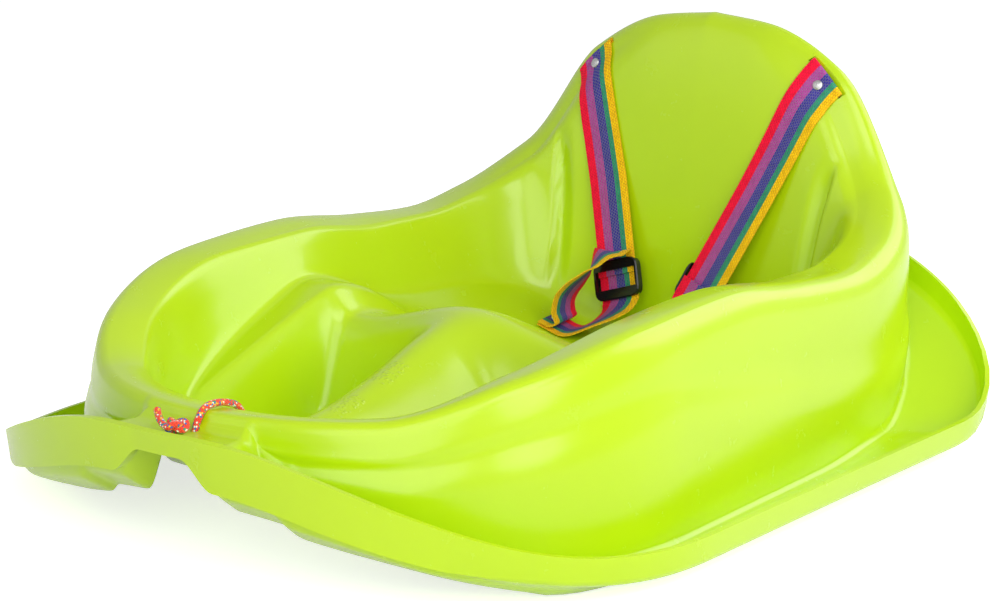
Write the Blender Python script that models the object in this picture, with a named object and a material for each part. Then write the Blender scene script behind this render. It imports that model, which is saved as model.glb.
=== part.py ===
"""Child's plastic sled with a high backrest, harness straps and a tow cord.

Metres, +Z up. The child faces -Y and the origin is on the ground under the
middle of the sled. The shell is one moulded sheet: a turned-up lip, a gutter,
an outer wall, a rounded rim that climbs into the backrest, an inner wall and
the floor of the tub. It is lofted from closed rings, from the lip inwards.
"""

import math

import bmesh
import bpy
import numpy as np
from mathutils import Matrix, Vector
from mathutils.bvhtree import BVHTree

# Sheet and lip
WALL = 0.003
LIP_HALF = 0.235
LIP_NOSE = 0.265
LIP_TAIL = 0.302
LIP_NOSE_Y = -0.077
LIP_TAIL_Y = 0.205
LIP_NOSE_POWER = 2.2
LIP_TAIL_POWER = 3.3
LIP_HEIGHT = 0.024
NOSE_RISE = 0.0626
NOSE_DIP = 0.0040
TAIL_RISE = 0.102
LIP_DEPTH = 0.017
NOSE_LIP_DEPTH = 0.029
TUNNEL_LIP_DEPTH = 0.0135
LIP_DRAFT = 0.0015
LIP_STEP = 0.0055

# Gutter, runners and the bridge over the front tunnel
CHANNEL_DEPTH = 0.0055
RUNNER_TOE = 0.140
RUNNER_RISE = 0.038
RUNNER_REACH = 0.105
SKI_HALF = 0.073
SKI_SLOPE = 0.008
SKI_STEP = 0.005
BRIDGE_HEIGHT = 0.0785
BRIDGE_HALF = 0.042
BRIDGE_SLOPE = 0.030
ROOF_HALF = 0.015
TUNNEL_HALF = 0.038

# Tub wall, rim and opening. Each line round the tub lies a named step inside
# the one before: the foot from the lip, the shoulder, the crest, the opening
SHELF_SIDE = 0.039
SHELF_NOSE = 0.028
SHELF_TAIL = 0.018
FOOT_HALF = LIP_HALF - SHELF_SIDE
FOOT_NOSE = LIP_NOSE - SHELF_NOSE
FOOT_TAIL = LIP_TAIL - SHELF_TAIL
FOOT_TAPER = 0.012
SKIRT_STEP = 0.0035
LEAN_SIDE = 0.0125
LEAN_NOSE = 0.0020
LEAN_TAIL = 0.0025
SHOULDER_HALF = FOOT_HALF - LEAN_SIDE
SHOULDER_NOSE = FOOT_NOSE - LEAN_NOSE
SHOULDER_TAIL = FOOT_TAIL + LEAN_TAIL
ROLL_SIDE = 0.0095
ROLL_NOSE = 0.0040
ROLL_TAIL = 0.0075
CREST_HALF = SHOULDER_HALF - ROLL_SIDE
CREST_NOSE = SHOULDER_NOSE - ROLL_NOSE
CREST_TAIL = SHOULDER_TAIL - ROLL_TAIL
RIM_DROP = 0.014
RIM_SIDE = 0.022
RIM_NOSE = 0.021
RIM_TAIL = 0.012
OPEN_HALF = CREST_HALF - RIM_SIDE
OPEN_NOSE = CREST_NOSE - RIM_NOSE
OPEN_TAIL = CREST_TAIL - RIM_TAIL
RIM_NOSE_Y = -0.041
RIM_TAIL_Y = 0.026
RIM_NOSE_POWER = 2.1
RIM_TAIL_POWER = 6.0

# Floor of the tub
DRAFT_SIDE = 0.019
DRAFT_NOSE = 0.018
DRAFT_TAIL = 0.033
FLOOR_HALF = OPEN_HALF - DRAFT_SIDE
FLOOR_NOSE = OPEN_NOSE - DRAFT_NOSE
FLOOR_TAIL = OPEN_TAIL - DRAFT_TAIL
SEAT_HEIGHT = 0.029
SEAT_DISH = 0.017
SEAT_DISH_HALF = 0.083
WELL_HEIGHT = 0.022
TOE_RISE = 0.020
TOE_Y = -0.138
KNEE_HEIGHT = 0.097
KNEE_Y = -0.004
KNEE_DEPTH = 0.030
HUMP_HEIGHT = 0.103
HUMP_NOSE_HEIGHT = 0.066
HUMP_HALF = 0.042
LEDGE_HALF = 0.110
SEAT_SLOPE_END = 0.125
POCKET_DEPTH = 0.006
POCKET_HALF = 0.113
POCKET_TOP = 0.172
POCKET_FOOT = 0.070

# Harness, each side: where the slider hangs and where the strap is riveted
STRAP_WIDTH = 0.0295
STRAP_THICK = 0.0012
SEAT_GAP = 0.0004
SLOT_LENGTH = 0.0370
SLOT_OPEN = 0.0056
SLOT_TO_SIDE = 0.0545
SLOT_X = OPEN_HALF - SLOT_TO_SIDE
SLOT_INSET = 0.0060
STRAP_SLIDE = 0.050
RIM_LIE = 0.0064
STRAP_TURN = 0.022
LEFT_AHEAD = 0.045
RIGHT_AHEAD = 0.039
LEFT_SLIDER_AT = (0.029, OPEN_TAIL - LEFT_AHEAD, 0.0765)
RIGHT_SLIDER_AT = (-0.042, OPEN_TAIL - RIGHT_AHEAD, 0.0730)
SLIDER_WIDTH = 0.0356
SLIDER_HEIGHT = 0.0272
SLIDER_FRONT = 0.0044
SLIDER_BACK = 0.0022
SLIDER_BAR = 0.0070
SLIDER_MIDDLE = 0.0042
SLIDER_SPARE = 0.0008
# The loose loop on the right: places from the slider, to the side, to the front
# and up, and how far the strap's width has turned from sideways to the front
LOOP_PLACES = (
    (0.0035, 0.007, 0.020),
    (0.0045, 0.0135, 0.0195),
    (0.007, 0.018, 0.014),
    (0.0105, 0.022, 0.007),
    (0.018, 0.025, -0.001),
    (0.0245, 0.028, -0.0105),
    (0.0247, 0.030, -0.0205),
)
LOOP_TURNS = (15, 34, 48, 62, 75, 82, 88)
RIVET_HEAD = 0.0035
RIVET_LIFT = 0.0006
RIVET_RISE = 0.0013
RIVET_SHANK = 0.0016
RIVET_CLEAR = 0.0003
ANCHOR_TO_SIDE = 0.078
ANCHOR_AHEAD = 0.070
ANCHOR_X = OPEN_HALF - ANCHOR_TO_SIDE
ANCHOR_Y = OPEN_TAIL - ANCHOR_AHEAD

# Tow cord
CORD = 0.004
CORD_HOLE = 0.0050
KNOT_X = 0.000
KNOT_TO_LIP = 0.0145
KNOT_Y = KNOT_TO_LIP - LIP_NOSE
RISER_X = 0.007
HOLES_APART = 0.010
RISER_Y = KNOT_Y + HOLES_APART
COIL_X = 0.075
COIL_Y = -0.112
COIL_RADIUS = 0.0225
COIL_TURNS = 7
COIL_PITCH = 0.0047
TIE = 0.0016
OVER_X = 0.0125
COIL_ENTRY = -125

COLUMNS = 5
POINTS_SIDE = 28
NOSE_SHARE = 0.19
TAIL_SHARE = 0.21
POINTS_TAIL = 13

# Height of the opening's edge and of the rim's crest, at shares of the way
# from the middle of the nose to the middle of the backrest.
SHARES = (0.0, 0.14, 0.24, 0.36, 0.48, 0.58, 0.66, 0.73, 0.80, 0.87, 0.94, 1.0)
OPEN_HEIGHTS = (0.0845, 0.086, 0.107, 0.125, 0.128, 0.120, 0.119, 0.1265, 0.147, 0.210, 0.242, 0.2485)
CREST_HEIGHTS = (0.088, 0.090, 0.1085, 0.1265, 0.131, 0.123, 0.119, 0.128, 0.155, 0.2245, 0.250, 0.255)
SKIRT_SHARES = (0.0, 0.14, 0.24, 0.36, 0.48, 0.58, 0.66, 0.80, 1.0)
SKIRT_HEIGHTS = (0.083, 0.078, 0.080, 0.083, 0.072, 0.062, 0.055, 0.049, 0.049)


def smooth(t):
    t = np.clip(t, 0.0, 1.0)
    return t * t * (3.0 - 2.0 * t)


def mix(a, b, t):
    return a + (b - a) * t


def eased(shares, values, s):
    """A curve without overshoot through the given values."""
    x = np.array(shares)
    y = np.array(values)
    step = np.diff(x)
    slope = np.diff(y) / step
    inner = np.where(slope[1:] * slope[:-1] > 0, 2 * slope[1:] * slope[:-1] / (slope[1:] + slope[:-1] + 1e-12), 0)
    tangent = np.concatenate([[slope[0]], inner, [slope[-1]]])
    k = np.clip(np.searchsorted(x, s, side="right") - 1, 0, len(x) - 2)
    t = (s - x[k]) / step[k]
    h1 = (1 + 2 * t) * (1 - t) ** 2
    h2 = t * (1 - t) ** 2
    h3 = t * t * (3 - 2 * t)
    h4 = t * t * (t - 1)
    return h1 * y[k] + h2 * step[k] * tangent[k] + h3 * y[k + 1] + h4 * step[k] * tangent[k + 1]


def outline(s, half, nose, tail, nose_y, tail_y, nose_power, tail_power):
    """Half a rounded outline, from the middle of the nose to the middle of the tail."""
    turn = np.linspace(0, math.pi / 2, 160)

    def quarter(reach, power):
        r = ((np.sin(turn) / half) ** power + (np.cos(turn) / reach) ** power) ** (-1 / power)
        return r * np.sin(turn), r * np.cos(turn)

    x1, d1 = quarter(nose + nose_y, nose_power)
    x2, d2 = quarter(tail - tail_y, tail_power)
    x = np.concatenate([x1, x2[::-1]])
    y = np.concatenate([nose_y - d1, (tail_y + d2)[::-1]])
    length = np.concatenate([[0], np.cumsum(np.hypot(np.diff(x), np.diff(y)))])
    length /= length[-1]
    return np.interp(s, length, x), np.interp(s, length, y)


def lip_outline(s):
    return outline(s, LIP_HALF, LIP_NOSE, LIP_TAIL, LIP_NOSE_Y, LIP_TAIL_Y, LIP_NOSE_POWER, LIP_TAIL_POWER)


def lip_length():
    x, y = lip_outline(np.linspace(0, 1, 400))
    return float(np.hypot(np.diff(x), np.diff(y)).sum())


LIP_LENGTH = lip_length()


def shares():
    """Stations along half an outline, closer together at the bridge and at the knee ridge."""
    marks = [0, ROOF_HALF / 2, ROOF_HALF, (ROOF_HALF + TUNNEL_HALF) / 2, TUNNEL_HALF, BRIDGE_HALF]
    marks += [BRIDGE_HALF + BRIDGE_SLOPE * 0.35, BRIDGE_HALF + BRIDGE_SLOPE * 0.65, BRIDGE_HALF + BRIDGE_SLOPE, SKI_HALF + SKI_SLOPE]
    nose = [mark / LIP_LENGTH for mark in marks]
    more = np.linspace(nose[-1], NOSE_SHARE, 5)
    steps = 1.0 - 0.55 * np.exp(-((np.arange(POINTS_SIDE) - 9.5) / 3.0) ** 2)
    side = NOSE_SHARE + (1 - TAIL_SHARE - NOSE_SHARE) * np.cumsum(steps) / steps.sum()
    tail = np.linspace(1 - TAIL_SHARE, 1, POINTS_TAIL + 1)
    return np.concatenate([nose, more[1:], side, tail[1:]])


def rim_outline(s, half, nose, tail):
    return outline(s, half, nose, tail, RIM_NOSE_Y, RIM_TAIL_Y, RIM_NOSE_POWER, RIM_TAIL_POWER)


def lip_height(x, y):
    across = np.clip(1 - (np.abs(x) / LIP_HALF) ** 2, 1e-6, 1)
    nose = np.clip((LIP_NOSE_Y - y) / (LIP_NOSE + LIP_NOSE_Y), 0, 1)
    tail = np.clip((y - LIP_TAIL_Y) / (LIP_TAIL - LIP_TAIL_Y), 0, 1)
    dip = NOSE_DIP * np.exp(-((x / 0.045) ** 2)) * nose
    return LIP_HEIGHT + NOSE_RISE * across ** 1.11 * nose + TAIL_RISE * across ** 0.40 * tail - dip


def runner_height(y):
    return RUNNER_RISE * np.clip((-y - RUNNER_TOE) / RUNNER_REACH, 0, None) ** 2


def step_share(s, inner, slope):
    """1 up to the given distance from the middle of the nose, measured round the lip, then 0."""
    return 1 - smooth((s * LIP_LENGTH - inner) / slope)


def channel(s, y):
    """Top of the gutter over the runners, before the bridge is added."""
    rise = smooth((-y - RUNNER_TOE - 0.03) / 0.03)
    return WALL + runner_height(y) + SKI_STEP * step_share(s, SKI_HALF, SKI_SLOPE) * rise


def floor_height(x, y):
    """Top of the tub's floor: wells, hump, side ledges, knee ridge and dished seat."""
    u = np.abs(x)
    back = smooth((y - KNEE_Y - 0.006) / (SEAT_SLOPE_END - KNEE_Y))
    hump_back = smooth((y - KNEE_Y) / (SEAT_SLOPE_END + 0.02 - KNEE_Y))
    bottom = SEAT_HEIGHT + SEAT_DISH * (u / SEAT_DISH_HALF) ** 2
    seat = mix(KNEE_HEIGHT, bottom, back)
    spine = mix(HUMP_HEIGHT, SEAT_HEIGHT + 0.004, hump_back)
    behind = mix(seat, np.maximum(spine, seat), 1 - smooth((u - 0.010) / (HUMP_HALF + 0.010)))
    ahead = np.clip((KNEE_Y - y) / (FLOOR_NOSE + KNEE_Y), 0, 1)
    ridge = mix(HUMP_HEIGHT, HUMP_NOSE_HEIGHT, ahead ** 1.15)
    ledge = mix(KNEE_HEIGHT + 0.004, WELL_HEIGHT + 0.006, np.clip(ahead * 1.35, 0, 1) ** 0.95)
    toe = TOE_RISE * np.clip((TOE_Y - y) / (FLOOR_NOSE + TOE_Y), 0, 1) ** 1.3
    well = mix(KNEE_HEIGHT, WELL_HEIGHT, smooth((KNEE_Y - y) / KNEE_DEPTH)) + toe
    front = well + (ridge - well) * (1 - smooth((u - 0.008) / (HUMP_HALF - 0.004)))
    front = front + (np.maximum(ledge, front) - front) * smooth((u - LEDGE_HALF + 0.008) / 0.018)
    return np.where(y > KNEE_Y, behind, front)


def wall_foot(s):
    x, y = rim_outline(s, FOOT_HALF, FOOT_NOSE, FOOT_TAIL)
    return x * (1 - FOOT_TAPER / FOOT_HALF * np.clip((y + 0.100) / 0.320, 0, 1)), y


def lip_depth(s):
    depth = mix(NOSE_LIP_DEPTH, LIP_DEPTH, smooth((s - 0.10) / 0.18))
    return mix(depth, TUNNEL_LIP_DEPTH, step_share(s, ROOF_HALF, TUNNEL_HALF - ROOF_HALF))


def lip_faces(s):
    """The lip's outer bottom edge and the foot of the step behind it, at the nose."""
    lx, ly = lip_outline(s)
    fx, fy = wall_foot(s)
    gap = np.hypot(lx - fx, ly - fy)
    low = lip_height(lx, ly) - lip_depth(s)
    places = []
    for d, lift in ((LIP_DRAFT * 2, 0.0), (LIP_DRAFT * 2 + LIP_STEP, 0.0006)):
        places.append((mix(lx, fx, d / gap), mix(ly, fy, d / gap), low + lift))
    return places


def shell_rings(s):
    """The sheet's upper face as rings, from the lip inwards, each (x, y, z)."""
    lx, ly = lip_outline(s)
    fx, fy = wall_foot(s)
    gap = np.hypot(lx - fx, ly - fy)
    inx, iny = (fx - lx) / gap, (fy - ly) / gap
    top = lip_height(lx, ly)
    bridge = step_share(s, BRIDGE_HALF, BRIDGE_SLOPE)
    depth = lip_depth(s)
    side = smooth((s - 0.20) / 0.12) * (1 - smooth((ly - 0.17) / 0.09))
    tail = smooth((ly - 0.12) / 0.10)

    def inside(d):
        return lx + inx * d, ly + iny * d

    def gutter(x, y, low):
        rear = top - depth + WALL / 2 - CHANNEL_DEPTH * (1 - tail) * low
        flat = channel(s, y) + (1 - low) * CHANNEL_DEPTH * (1 - tail)
        base = mix(flat, rear, smooth((y + 0.10) / 0.06))
        return mix(base, BRIDGE_HEIGHT, bridge)

    rings = []
    x, y = inside(WALL)
    rings.append((x, y, top))
    x, y = inside(WALL + LIP_DRAFT)
    rings.append((x, y, np.maximum(top - depth + WALL + 0.0005, gutter(x, y, 0.0) + 0.0005)))
    d2 = WALL + LIP_DRAFT + LIP_STEP * mix(0.75, 1.0, side)
    x, y = inside(d2)
    rings.append((x, y, np.maximum(top - depth + WALL / 2, gutter(x, y, 0.0))))
    rest = gap - d2
    for share_front, share_side, low in ((0.10, 0.34, 0.15), (0.24, 0.50, 1.0), (0.80, 0.86, 1.0)):
        x, y = inside(d2 + rest * mix(share_front, share_side, side))
        rings.append((x, y, gutter(x, y, low)))
    foot = gutter(fx, fy, 1.0) + 0.003
    rings.append((fx, fy, foot))

    crest = eased(SHARES, CREST_HEIGHTS, s)
    sx, sy = rim_outline(s, SHOULDER_HALF, SHOULDER_NOSE, SHOULDER_TAIL)
    shoulder = np.maximum(crest - RIM_DROP, foot + 0.002)
    line = eased(SKIRT_SHARES, SKIRT_HEIGHTS, s)
    f = np.clip((line - foot) / (shoulder - foot), 0.30, 0.72)
    for up, out in ((f - 0.10, SKIRT_STEP), (f + 0.08, 0.0), (mix(f, 1.0, 0.60), 0.0008)):
        out = out * smooth((shoulder - foot) / 0.03)
        x = mix(fx, sx, up) - inx * out
        y = mix(fy, sy, up) - iny * out
        rings.append((x, y, mix(foot, shoulder, up)))
    rings.append((sx, sy, shoulder))
    hx, hy = rim_outline(s, mix(CREST_HALF, SHOULDER_HALF, 0.65), mix(CREST_NOSE, SHOULDER_NOSE, 0.7), mix(CREST_TAIL, SHOULDER_TAIL, 0.65))
    rings.append((hx, hy, mix(crest, shoulder, 0.30)))
    cx, cy = rim_outline(s, CREST_HALF, CREST_NOSE, CREST_TAIL)
    rings.append((cx, cy, crest))
    edge = eased(SHARES, OPEN_HEIGHTS, s)
    ox, oy = rim_outline(s, OPEN_HALF, OPEN_NOSE, OPEN_TAIL)
    rings.append((mix(cx, ox, 0.60), mix(cy, oy, 0.60), mix(crest, edge, 0.30)))
    rings.append((ox, oy, edge - 0.0005))

    bx, by = outline(s, FLOOR_HALF, FLOOR_NOSE, FLOOR_TAIL, RIM_NOSE_Y, RIM_TAIL_Y, 2.3, 5.0)
    base = floor_height(bx, by)
    for down, share in ((0.07, 0.20), (0.26, 0.40), (0.50, 0.58), (0.76, 0.78), (0.93, 0.91)):
        x, y, z = mix(ox, bx, share), mix(oy, by, share), mix(edge, base, down)
        width = np.clip((POCKET_TOP - z) / (POCKET_TOP - POCKET_FOOT), 0, 1)
        within = smooth((x - POCKET_HALF) / 0.004) * smooth((POCKET_HALF + 0.004 + 0.022 * width - x) / 0.008)
        press = POCKET_DEPTH * within * smooth(width * 4) * smooth((z - POCKET_FOOT + 0.012) / 0.012) * (y > 0.15)
        rings.append((x, y + press, z))
    rings.append((bx, by, base + 0.0015))
    return rings


def full_ring(ring):
    """Both halves of a ring, clockwise from the middle of the nose."""
    half = np.stack(ring, axis=1)
    half[0, 0] = 0.0
    half[-1, 0] = 0.0
    other = half[1:-1][::-1] * np.array([-1.0, 1.0, 1.0])
    return np.concatenate([half, other])


def floor_patch(ring):
    """Points of a square grid whose border is the last ring."""
    cols, rows = 2 * POINTS_TAIL, POINTS_SIDE
    count = len(ring)
    border = {}
    for i in range(cols + 1):
        border[(i, 0)] = (i - POINTS_TAIL) % count
        border[(i, rows)] = (POINTS_TAIL + rows + (cols - i)) % count
    for j in range(rows + 1):
        border[(cols, j)] = (POINTS_TAIL + j) % count
        border[(0, j)] = (count - POINTS_TAIL - j) % count
    points = {}
    for i in range(1, cols):
        for j in range(1, rows):
            a, b = i / cols, j / rows
            low, high = ring[border[(i, 0)]], ring[border[(i, rows)]]
            left, side = ring[border[(0, j)]], ring[border[(cols, j)]]
            c00, c10 = ring[border[(0, 0)]], ring[border[(cols, 0)]]
            c01, c11 = ring[border[(0, rows)]], ring[border[(cols, rows)]]
            p = mix(low, high, b) + mix(left, side, a)
            p = p - mix(mix(c00, c10, a), mix(c01, c11, a), b)
            z = float(floor_height(p[0], p[1]))
            points[(i, j)] = (p[0], p[1], z)
    return border, points, cols, rows


def material(name, colour, roughness, metallic=0.0):
    found = bpy.data.materials.new(name)
    found.use_nodes = True
    shader = found.node_tree.nodes["Principled BSDF"]
    shader.inputs["Base Color"].default_value = (*colour, 1.0)
    shader.inputs["Roughness"].default_value = roughness
    shader.inputs["Metallic"].default_value = metallic
    return found


def add_object(name, bm, finish, angle=35.0):
    mesh = bpy.data.meshes.new(name)
    bm.normal_update()
    bm.to_mesh(mesh)
    bm.free()
    mesh.materials.append(finish)
    mesh.shade_smooth()
    mesh.set_sharp_from_angle(angle=math.radians(angle))
    obj = bpy.data.objects.new(name, mesh)
    bpy.context.scene.collection.objects.link(obj)
    return obj


def build_shell(finish):
    s = shares()
    rings = [full_ring(ring) for ring in shell_rings(s)]
    border, inner, cols, rows = floor_patch(rings[-1])
    bm = bmesh.new()
    loops = [[bm.verts.new(p) for p in ring] for ring in rings]
    count = len(loops[0])
    for outer, inner_loop in zip(loops, loops[1:]):
        for k in range(count):
            n = (k + 1) % count
            bm.faces.new((outer[k], outer[n], inner_loop[n], inner_loop[k]))
    grid = {key: bm.verts.new(p) for key, p in inner.items()}
    for key, k in border.items():
        grid[key] = loops[-1][k]
    for i in range(cols):
        for j in range(rows):
            bm.faces.new((grid[(i, j)], grid[(i + 1, j)], grid[(i + 1, j + 1)], grid[(i, j + 1)]))
    bm.normal_update()
    if sum(f.normal.z for f in bm.faces) < 0:
        bmesh.ops.reverse_faces(bm, faces=bm.faces)
        bm.normal_update()
    upper = list(bm.verts)
    faces = list(bm.faces)
    share = np.concatenate([s, s[1:-1][::-1]])
    roof = step_share(share, ROOF_HALF, TUNNEL_HALF - ROOF_HALF)
    lower = {}
    for v in upper:
        factor = min(v.calc_shell_factor(), 1.5)
        lower[v] = bm.verts.new(v.co - v.normal * WALL * factor)
    lip_side = full_ring(lip_faces(s)[0])
    lip_foot = full_ring(lip_faces(s)[1])
    for number, ring in enumerate(loops[:7]):
        for k, v in enumerate(ring):
            nose = float(smooth((-v.co.y - 0.190) / 0.030))
            if nose == 0:
                continue
            keel = float(channel(share[k], v.co.y)) - WALL
            under = mix(keel, BRIDGE_HEIGHT - WALL, float(roof[k]))
            straight = Vector((v.co.x, v.co.y, min(v.co.z - WALL, under)))
            if number == 1:
                straight = Vector(lip_side[k])
            if number == 2:
                straight = Vector(lip_foot[k])
            if number > 0:
                lower[v].co = lower[v].co.lerp(straight, nose)
    for face in faces:
        bm.faces.new([lower[v] for v in reversed(face.verts)])
    lip = loops[0]
    for k in range(count):
        n = (k + 1) % count
        a, b = lip[k], lip[n]
        bm.faces.new((b, a, lower[a], lower[b]))
    bmesh.ops.recalc_face_normals(bm, faces=bm.faces)
    return add_object("sled_shell", bm, finish, 40.0)


def cutter(name, bm):
    mesh = bpy.data.meshes.new(name)
    bm.to_mesh(mesh)
    bm.free()
    obj = bpy.data.objects.new(name, mesh)
    obj.hide_render = True
    obj.display_type = "WIRE"
    bpy.context.scene.collection.objects.link(obj)
    return obj


def cut(obj, tool, operation="DIFFERENCE"):
    step = obj.modifiers.new(tool.name, "BOOLEAN")
    step.object = tool
    step.operation = operation
    step.solver = "EXACT"
    return step


def axes_of(along, across):
    """Right-handed axes from a direction and a second one near it."""
    z = Vector(along).normalized()
    x = Vector(across)
    x = (x - z * x.dot(z)).normalized()
    return x, z.cross(x), z


def face_out(bm):
    bmesh.ops.recalc_face_normals(bm, faces=bm.faces)
    if bm.calc_volume(signed=True) < 0:
        bmesh.ops.reverse_faces(bm, faces=bm.faces)
    return bm


def place(bm, origin, x, y, z):
    turn = Matrix((x, y, z)).transposed().to_4x4()
    bmesh.ops.transform(bm, matrix=Matrix.Translation(origin) @ turn, verts=bm.verts)


def block(size, centre=(0, 0, 0)):
    bm = bmesh.new()
    bmesh.ops.create_cube(bm, size=1.0)
    bmesh.ops.scale(bm, vec=size, verts=bm.verts)
    bmesh.ops.translate(bm, vec=centre, verts=bm.verts)
    return bm


def turned(profile, sides=16):
    """A closed body turned about Z from (radius, height) points, which start and end on the axis."""
    bm = bmesh.new()
    rows = []
    for r, h in profile:
        if r < 1e-6:
            rows.append([bm.verts.new((0, 0, h))])
            continue
        angles = [2 * math.pi * k / sides for k in range(sides)]
        rows.append([bm.verts.new((r * math.cos(a), r * math.sin(a), h)) for a in angles])
    for low, high in zip(rows, rows[1:]):
        for k in range(sides):
            n = (k + 1) % sides
            if len(low) == 1:
                bm.faces.new((low[0], high[n], high[k]))
            elif len(high) == 1:
                bm.faces.new((low[k], low[n], high[0]))
            else:
                bm.faces.new((low[k], low[n], high[n], high[k]))
    return face_out(bm)


def tree_of(obj):
    mesh = obj.data
    points = [v.co.copy() for v in mesh.vertices]
    return BVHTree.FromPolygons(points, [tuple(f.vertices) for f in mesh.polygons])


def drop(tree, x, y, top=0.30):
    """The highest point of the shell at x, y, and its normal."""
    hit, normal, _, _ = tree.ray_cast(Vector((x, y, top)), Vector((0, 0, -1)))
    return hit, normal


def ribbon(rows, thick):
    """A closed strap from rows of (point, normal) across its width, as thick as given."""
    bm = bmesh.new()
    front = [[bm.verts.new(p + n * thick / 2) for p, n in row] for row in rows]
    back = [[bm.verts.new(p - n * thick / 2) for p, n in row] for row in rows]
    last = len(rows[0]) - 1
    for i in range(len(rows) - 1):
        for k in range(last):
            bm.faces.new((front[i][k], front[i][k + 1], front[i + 1][k + 1], front[i + 1][k]))
            bm.faces.new((back[i][k], back[i + 1][k], back[i + 1][k + 1], back[i][k + 1]))
        bm.faces.new((front[i][0], front[i + 1][0], back[i + 1][0], back[i][0]))
        bm.faces.new((front[i][last], back[i][last], back[i + 1][last], front[i + 1][last]))
    for i in (0, len(rows) - 1):
        for k in range(last):
            bm.faces.new((front[i][k], back[i][k], back[i][k + 1], front[i][k + 1]))
    return face_out(bm)


def flat_row(centre, across, normal):
    half = STRAP_WIDTH / 2
    return [(centre + across * half * (2 * k / (COLUMNS - 1) - 1), normal) for k in range(COLUMNS)]


def hermite(p0, m0, p1, m1, t):
    return (
        p0 * (2 * t ** 3 - 3 * t ** 2 + 1)
        + m0 * (t ** 3 - 2 * t ** 2 + t)
        + p1 * (3 * t ** 2 - 2 * t ** 3)
        + m1 * (t ** 3 - t ** 2)
    )


def crest_share(x):
    """The share of the way round at which the crest stands this far from the middle, on the backrest."""
    low, high = 0.85, 1.0
    for _ in range(40):
        middle = (low + high) / 2
        if float(rim_outline(middle, CREST_HALF, CREST_NOSE, CREST_TAIL)[0]) > x:
            low = middle
        else:
            high = middle
    return (low + high) / 2


def rim_point(s, side, inward):
    """A point of the rim's top: 0 is the crest, 1 the edge of the opening."""
    cx, cy = rim_outline(s, CREST_HALF, CREST_NOSE, CREST_TAIL)
    ox, oy = rim_outline(s, OPEN_HALF, OPEN_NOSE, OPEN_TAIL)
    top = float(eased(SHARES, CREST_HEIGHTS, s))
    edge = float(eased(SHARES, OPEN_HEIGHTS, s))
    z = mix(top, edge, inward ** 2 * 0.9 + inward * 0.1)
    return Vector((side * float(mix(cx, ox, inward)), float(mix(cy, oy, inward)), z))


class Side:
    """Places and directions of one side's strap, all found from the shell and the named sizes."""

    def __init__(self, tree, side, slider_at):
        self.tree = tree
        self.side = side
        share = crest_share(SLOT_X)
        step = STRAP_WIDTH / 2 / LIP_LENGTH * 1.25
        self.share = SLOT_INSET / (CREST_TAIL - OPEN_TAIL)
        along = rim_point(share + step, side, self.share) - rim_point(share - step, side, self.share)
        self.along = (along if along.x > 0 else -along).normalized()
        inward = Vector((0.0, -1.0, 0.0))
        self.inward = (inward - self.along * inward.dot(self.along)).normalized()
        up = self.along.cross(self.inward)
        self.up = up if up.z > 0 else -up
        top = rim_point(share, side, self.share)
        self.crest = tree.ray_cast(top + self.up * 0.05, -self.up)[0]
        self.slider = Vector(slider_at)
        leaving = self.slider - self.crest
        lean = leaving.dot(self.along) / leaving.length
        self.lean = lean / math.sqrt(1 - lean * lean)
        self.anchor, self.seat = drop(tree, side * ANCHOR_X, ANCHOR_Y)
        self.edge = self.on_rim(RIM_LIE)[COLUMNS // 2]
        self.run = (self.slider - self.edge[0]).normalized()
        self.across, y, _ = axes_of(-self.run, (1, 0, 0))
        self.front = y if y.y < 0 else -y
        land = Vector((side, -0.10, 0.0))
        self.land = (land - self.seat * land.dot(self.seat)).normalized()
        seat_across = self.land.cross(self.seat).normalized()
        self.seat_across = seat_across if seat_across.y * side > 0 else -seat_across

    def draped(self, lift, start, direction):
        row = []
        for k in range(COLUMNS):
            v = (2 * k / (COLUMNS - 1) - 1) * STRAP_WIDTH / 2
            sheared = v * math.sqrt(1 + self.lean**2)
            hit, normal, _, _ = self.tree.ray_cast(start + self.along * sheared - direction * 0.04, direction)
            row.append((hit + normal * (SEAT_GAP + STRAP_THICK / 2 + lift), normal))
        return row

    def on_rim(self, distance, lift=0.0):
        start = self.crest + (self.inward + self.along * self.lean) * distance
        return self.draped(lift, start, -self.up)

    def laid(self, row, least=None):
        """The row, moved out where it would sink into the shell."""
        least = least or SEAT_GAP + STRAP_THICK / 2 + 0.0003
        moved = []
        for point, n in row:
            hit = self.tree.ray_cast(point + n * 0.02, -n, 0.04)[0]
            short = 0.0 if hit is None else least - (point - hit).dot(n)
            moved.append((point + n * max(0.0, short), n))
        return moved


def swept(stations, steps, square_from):
    """Rows of a strap along a smooth line through the stations, each a place and a width direction.

    Past the station square_from the rows are turned square to the line.
    """
    rows = []
    last = len(stations) - 1
    for i in range(last):
        before, here, after, beyond = (stations[min(max(i + k, 0), last)] for k in (-1, 0, 1, 2))
        length = (after[0] - here[0]).length
        m0, m1 = (after[0] - before[0]).normalized() * length, (beyond[0] - here[0]).normalized() * length
        for k in range(steps):
            t = k / steps
            centre = hermite(here[0], m0, after[0], m1, t)
            way = hermite(here[0], m0, after[0], m1, t + 0.02) - centre
            square = min(1.0, max(0.0, (i + t - square_from) / 2))
            rows.append(row_on(centre, way, here[1].lerp(after[1], t), square))
    square = min(1.0, max(0.0, last - square_from))
    rows.append(row_on(stations[-1][0], stations[-1][0] - stations[-2][0], stations[-1][1], square))
    return rows


def row_on(centre, way, across, square):
    way = way.normalized()
    across = (across - way * across.dot(way) * square).normalized()
    return flat_row(centre, across, way.cross(across).normalized())


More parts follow.
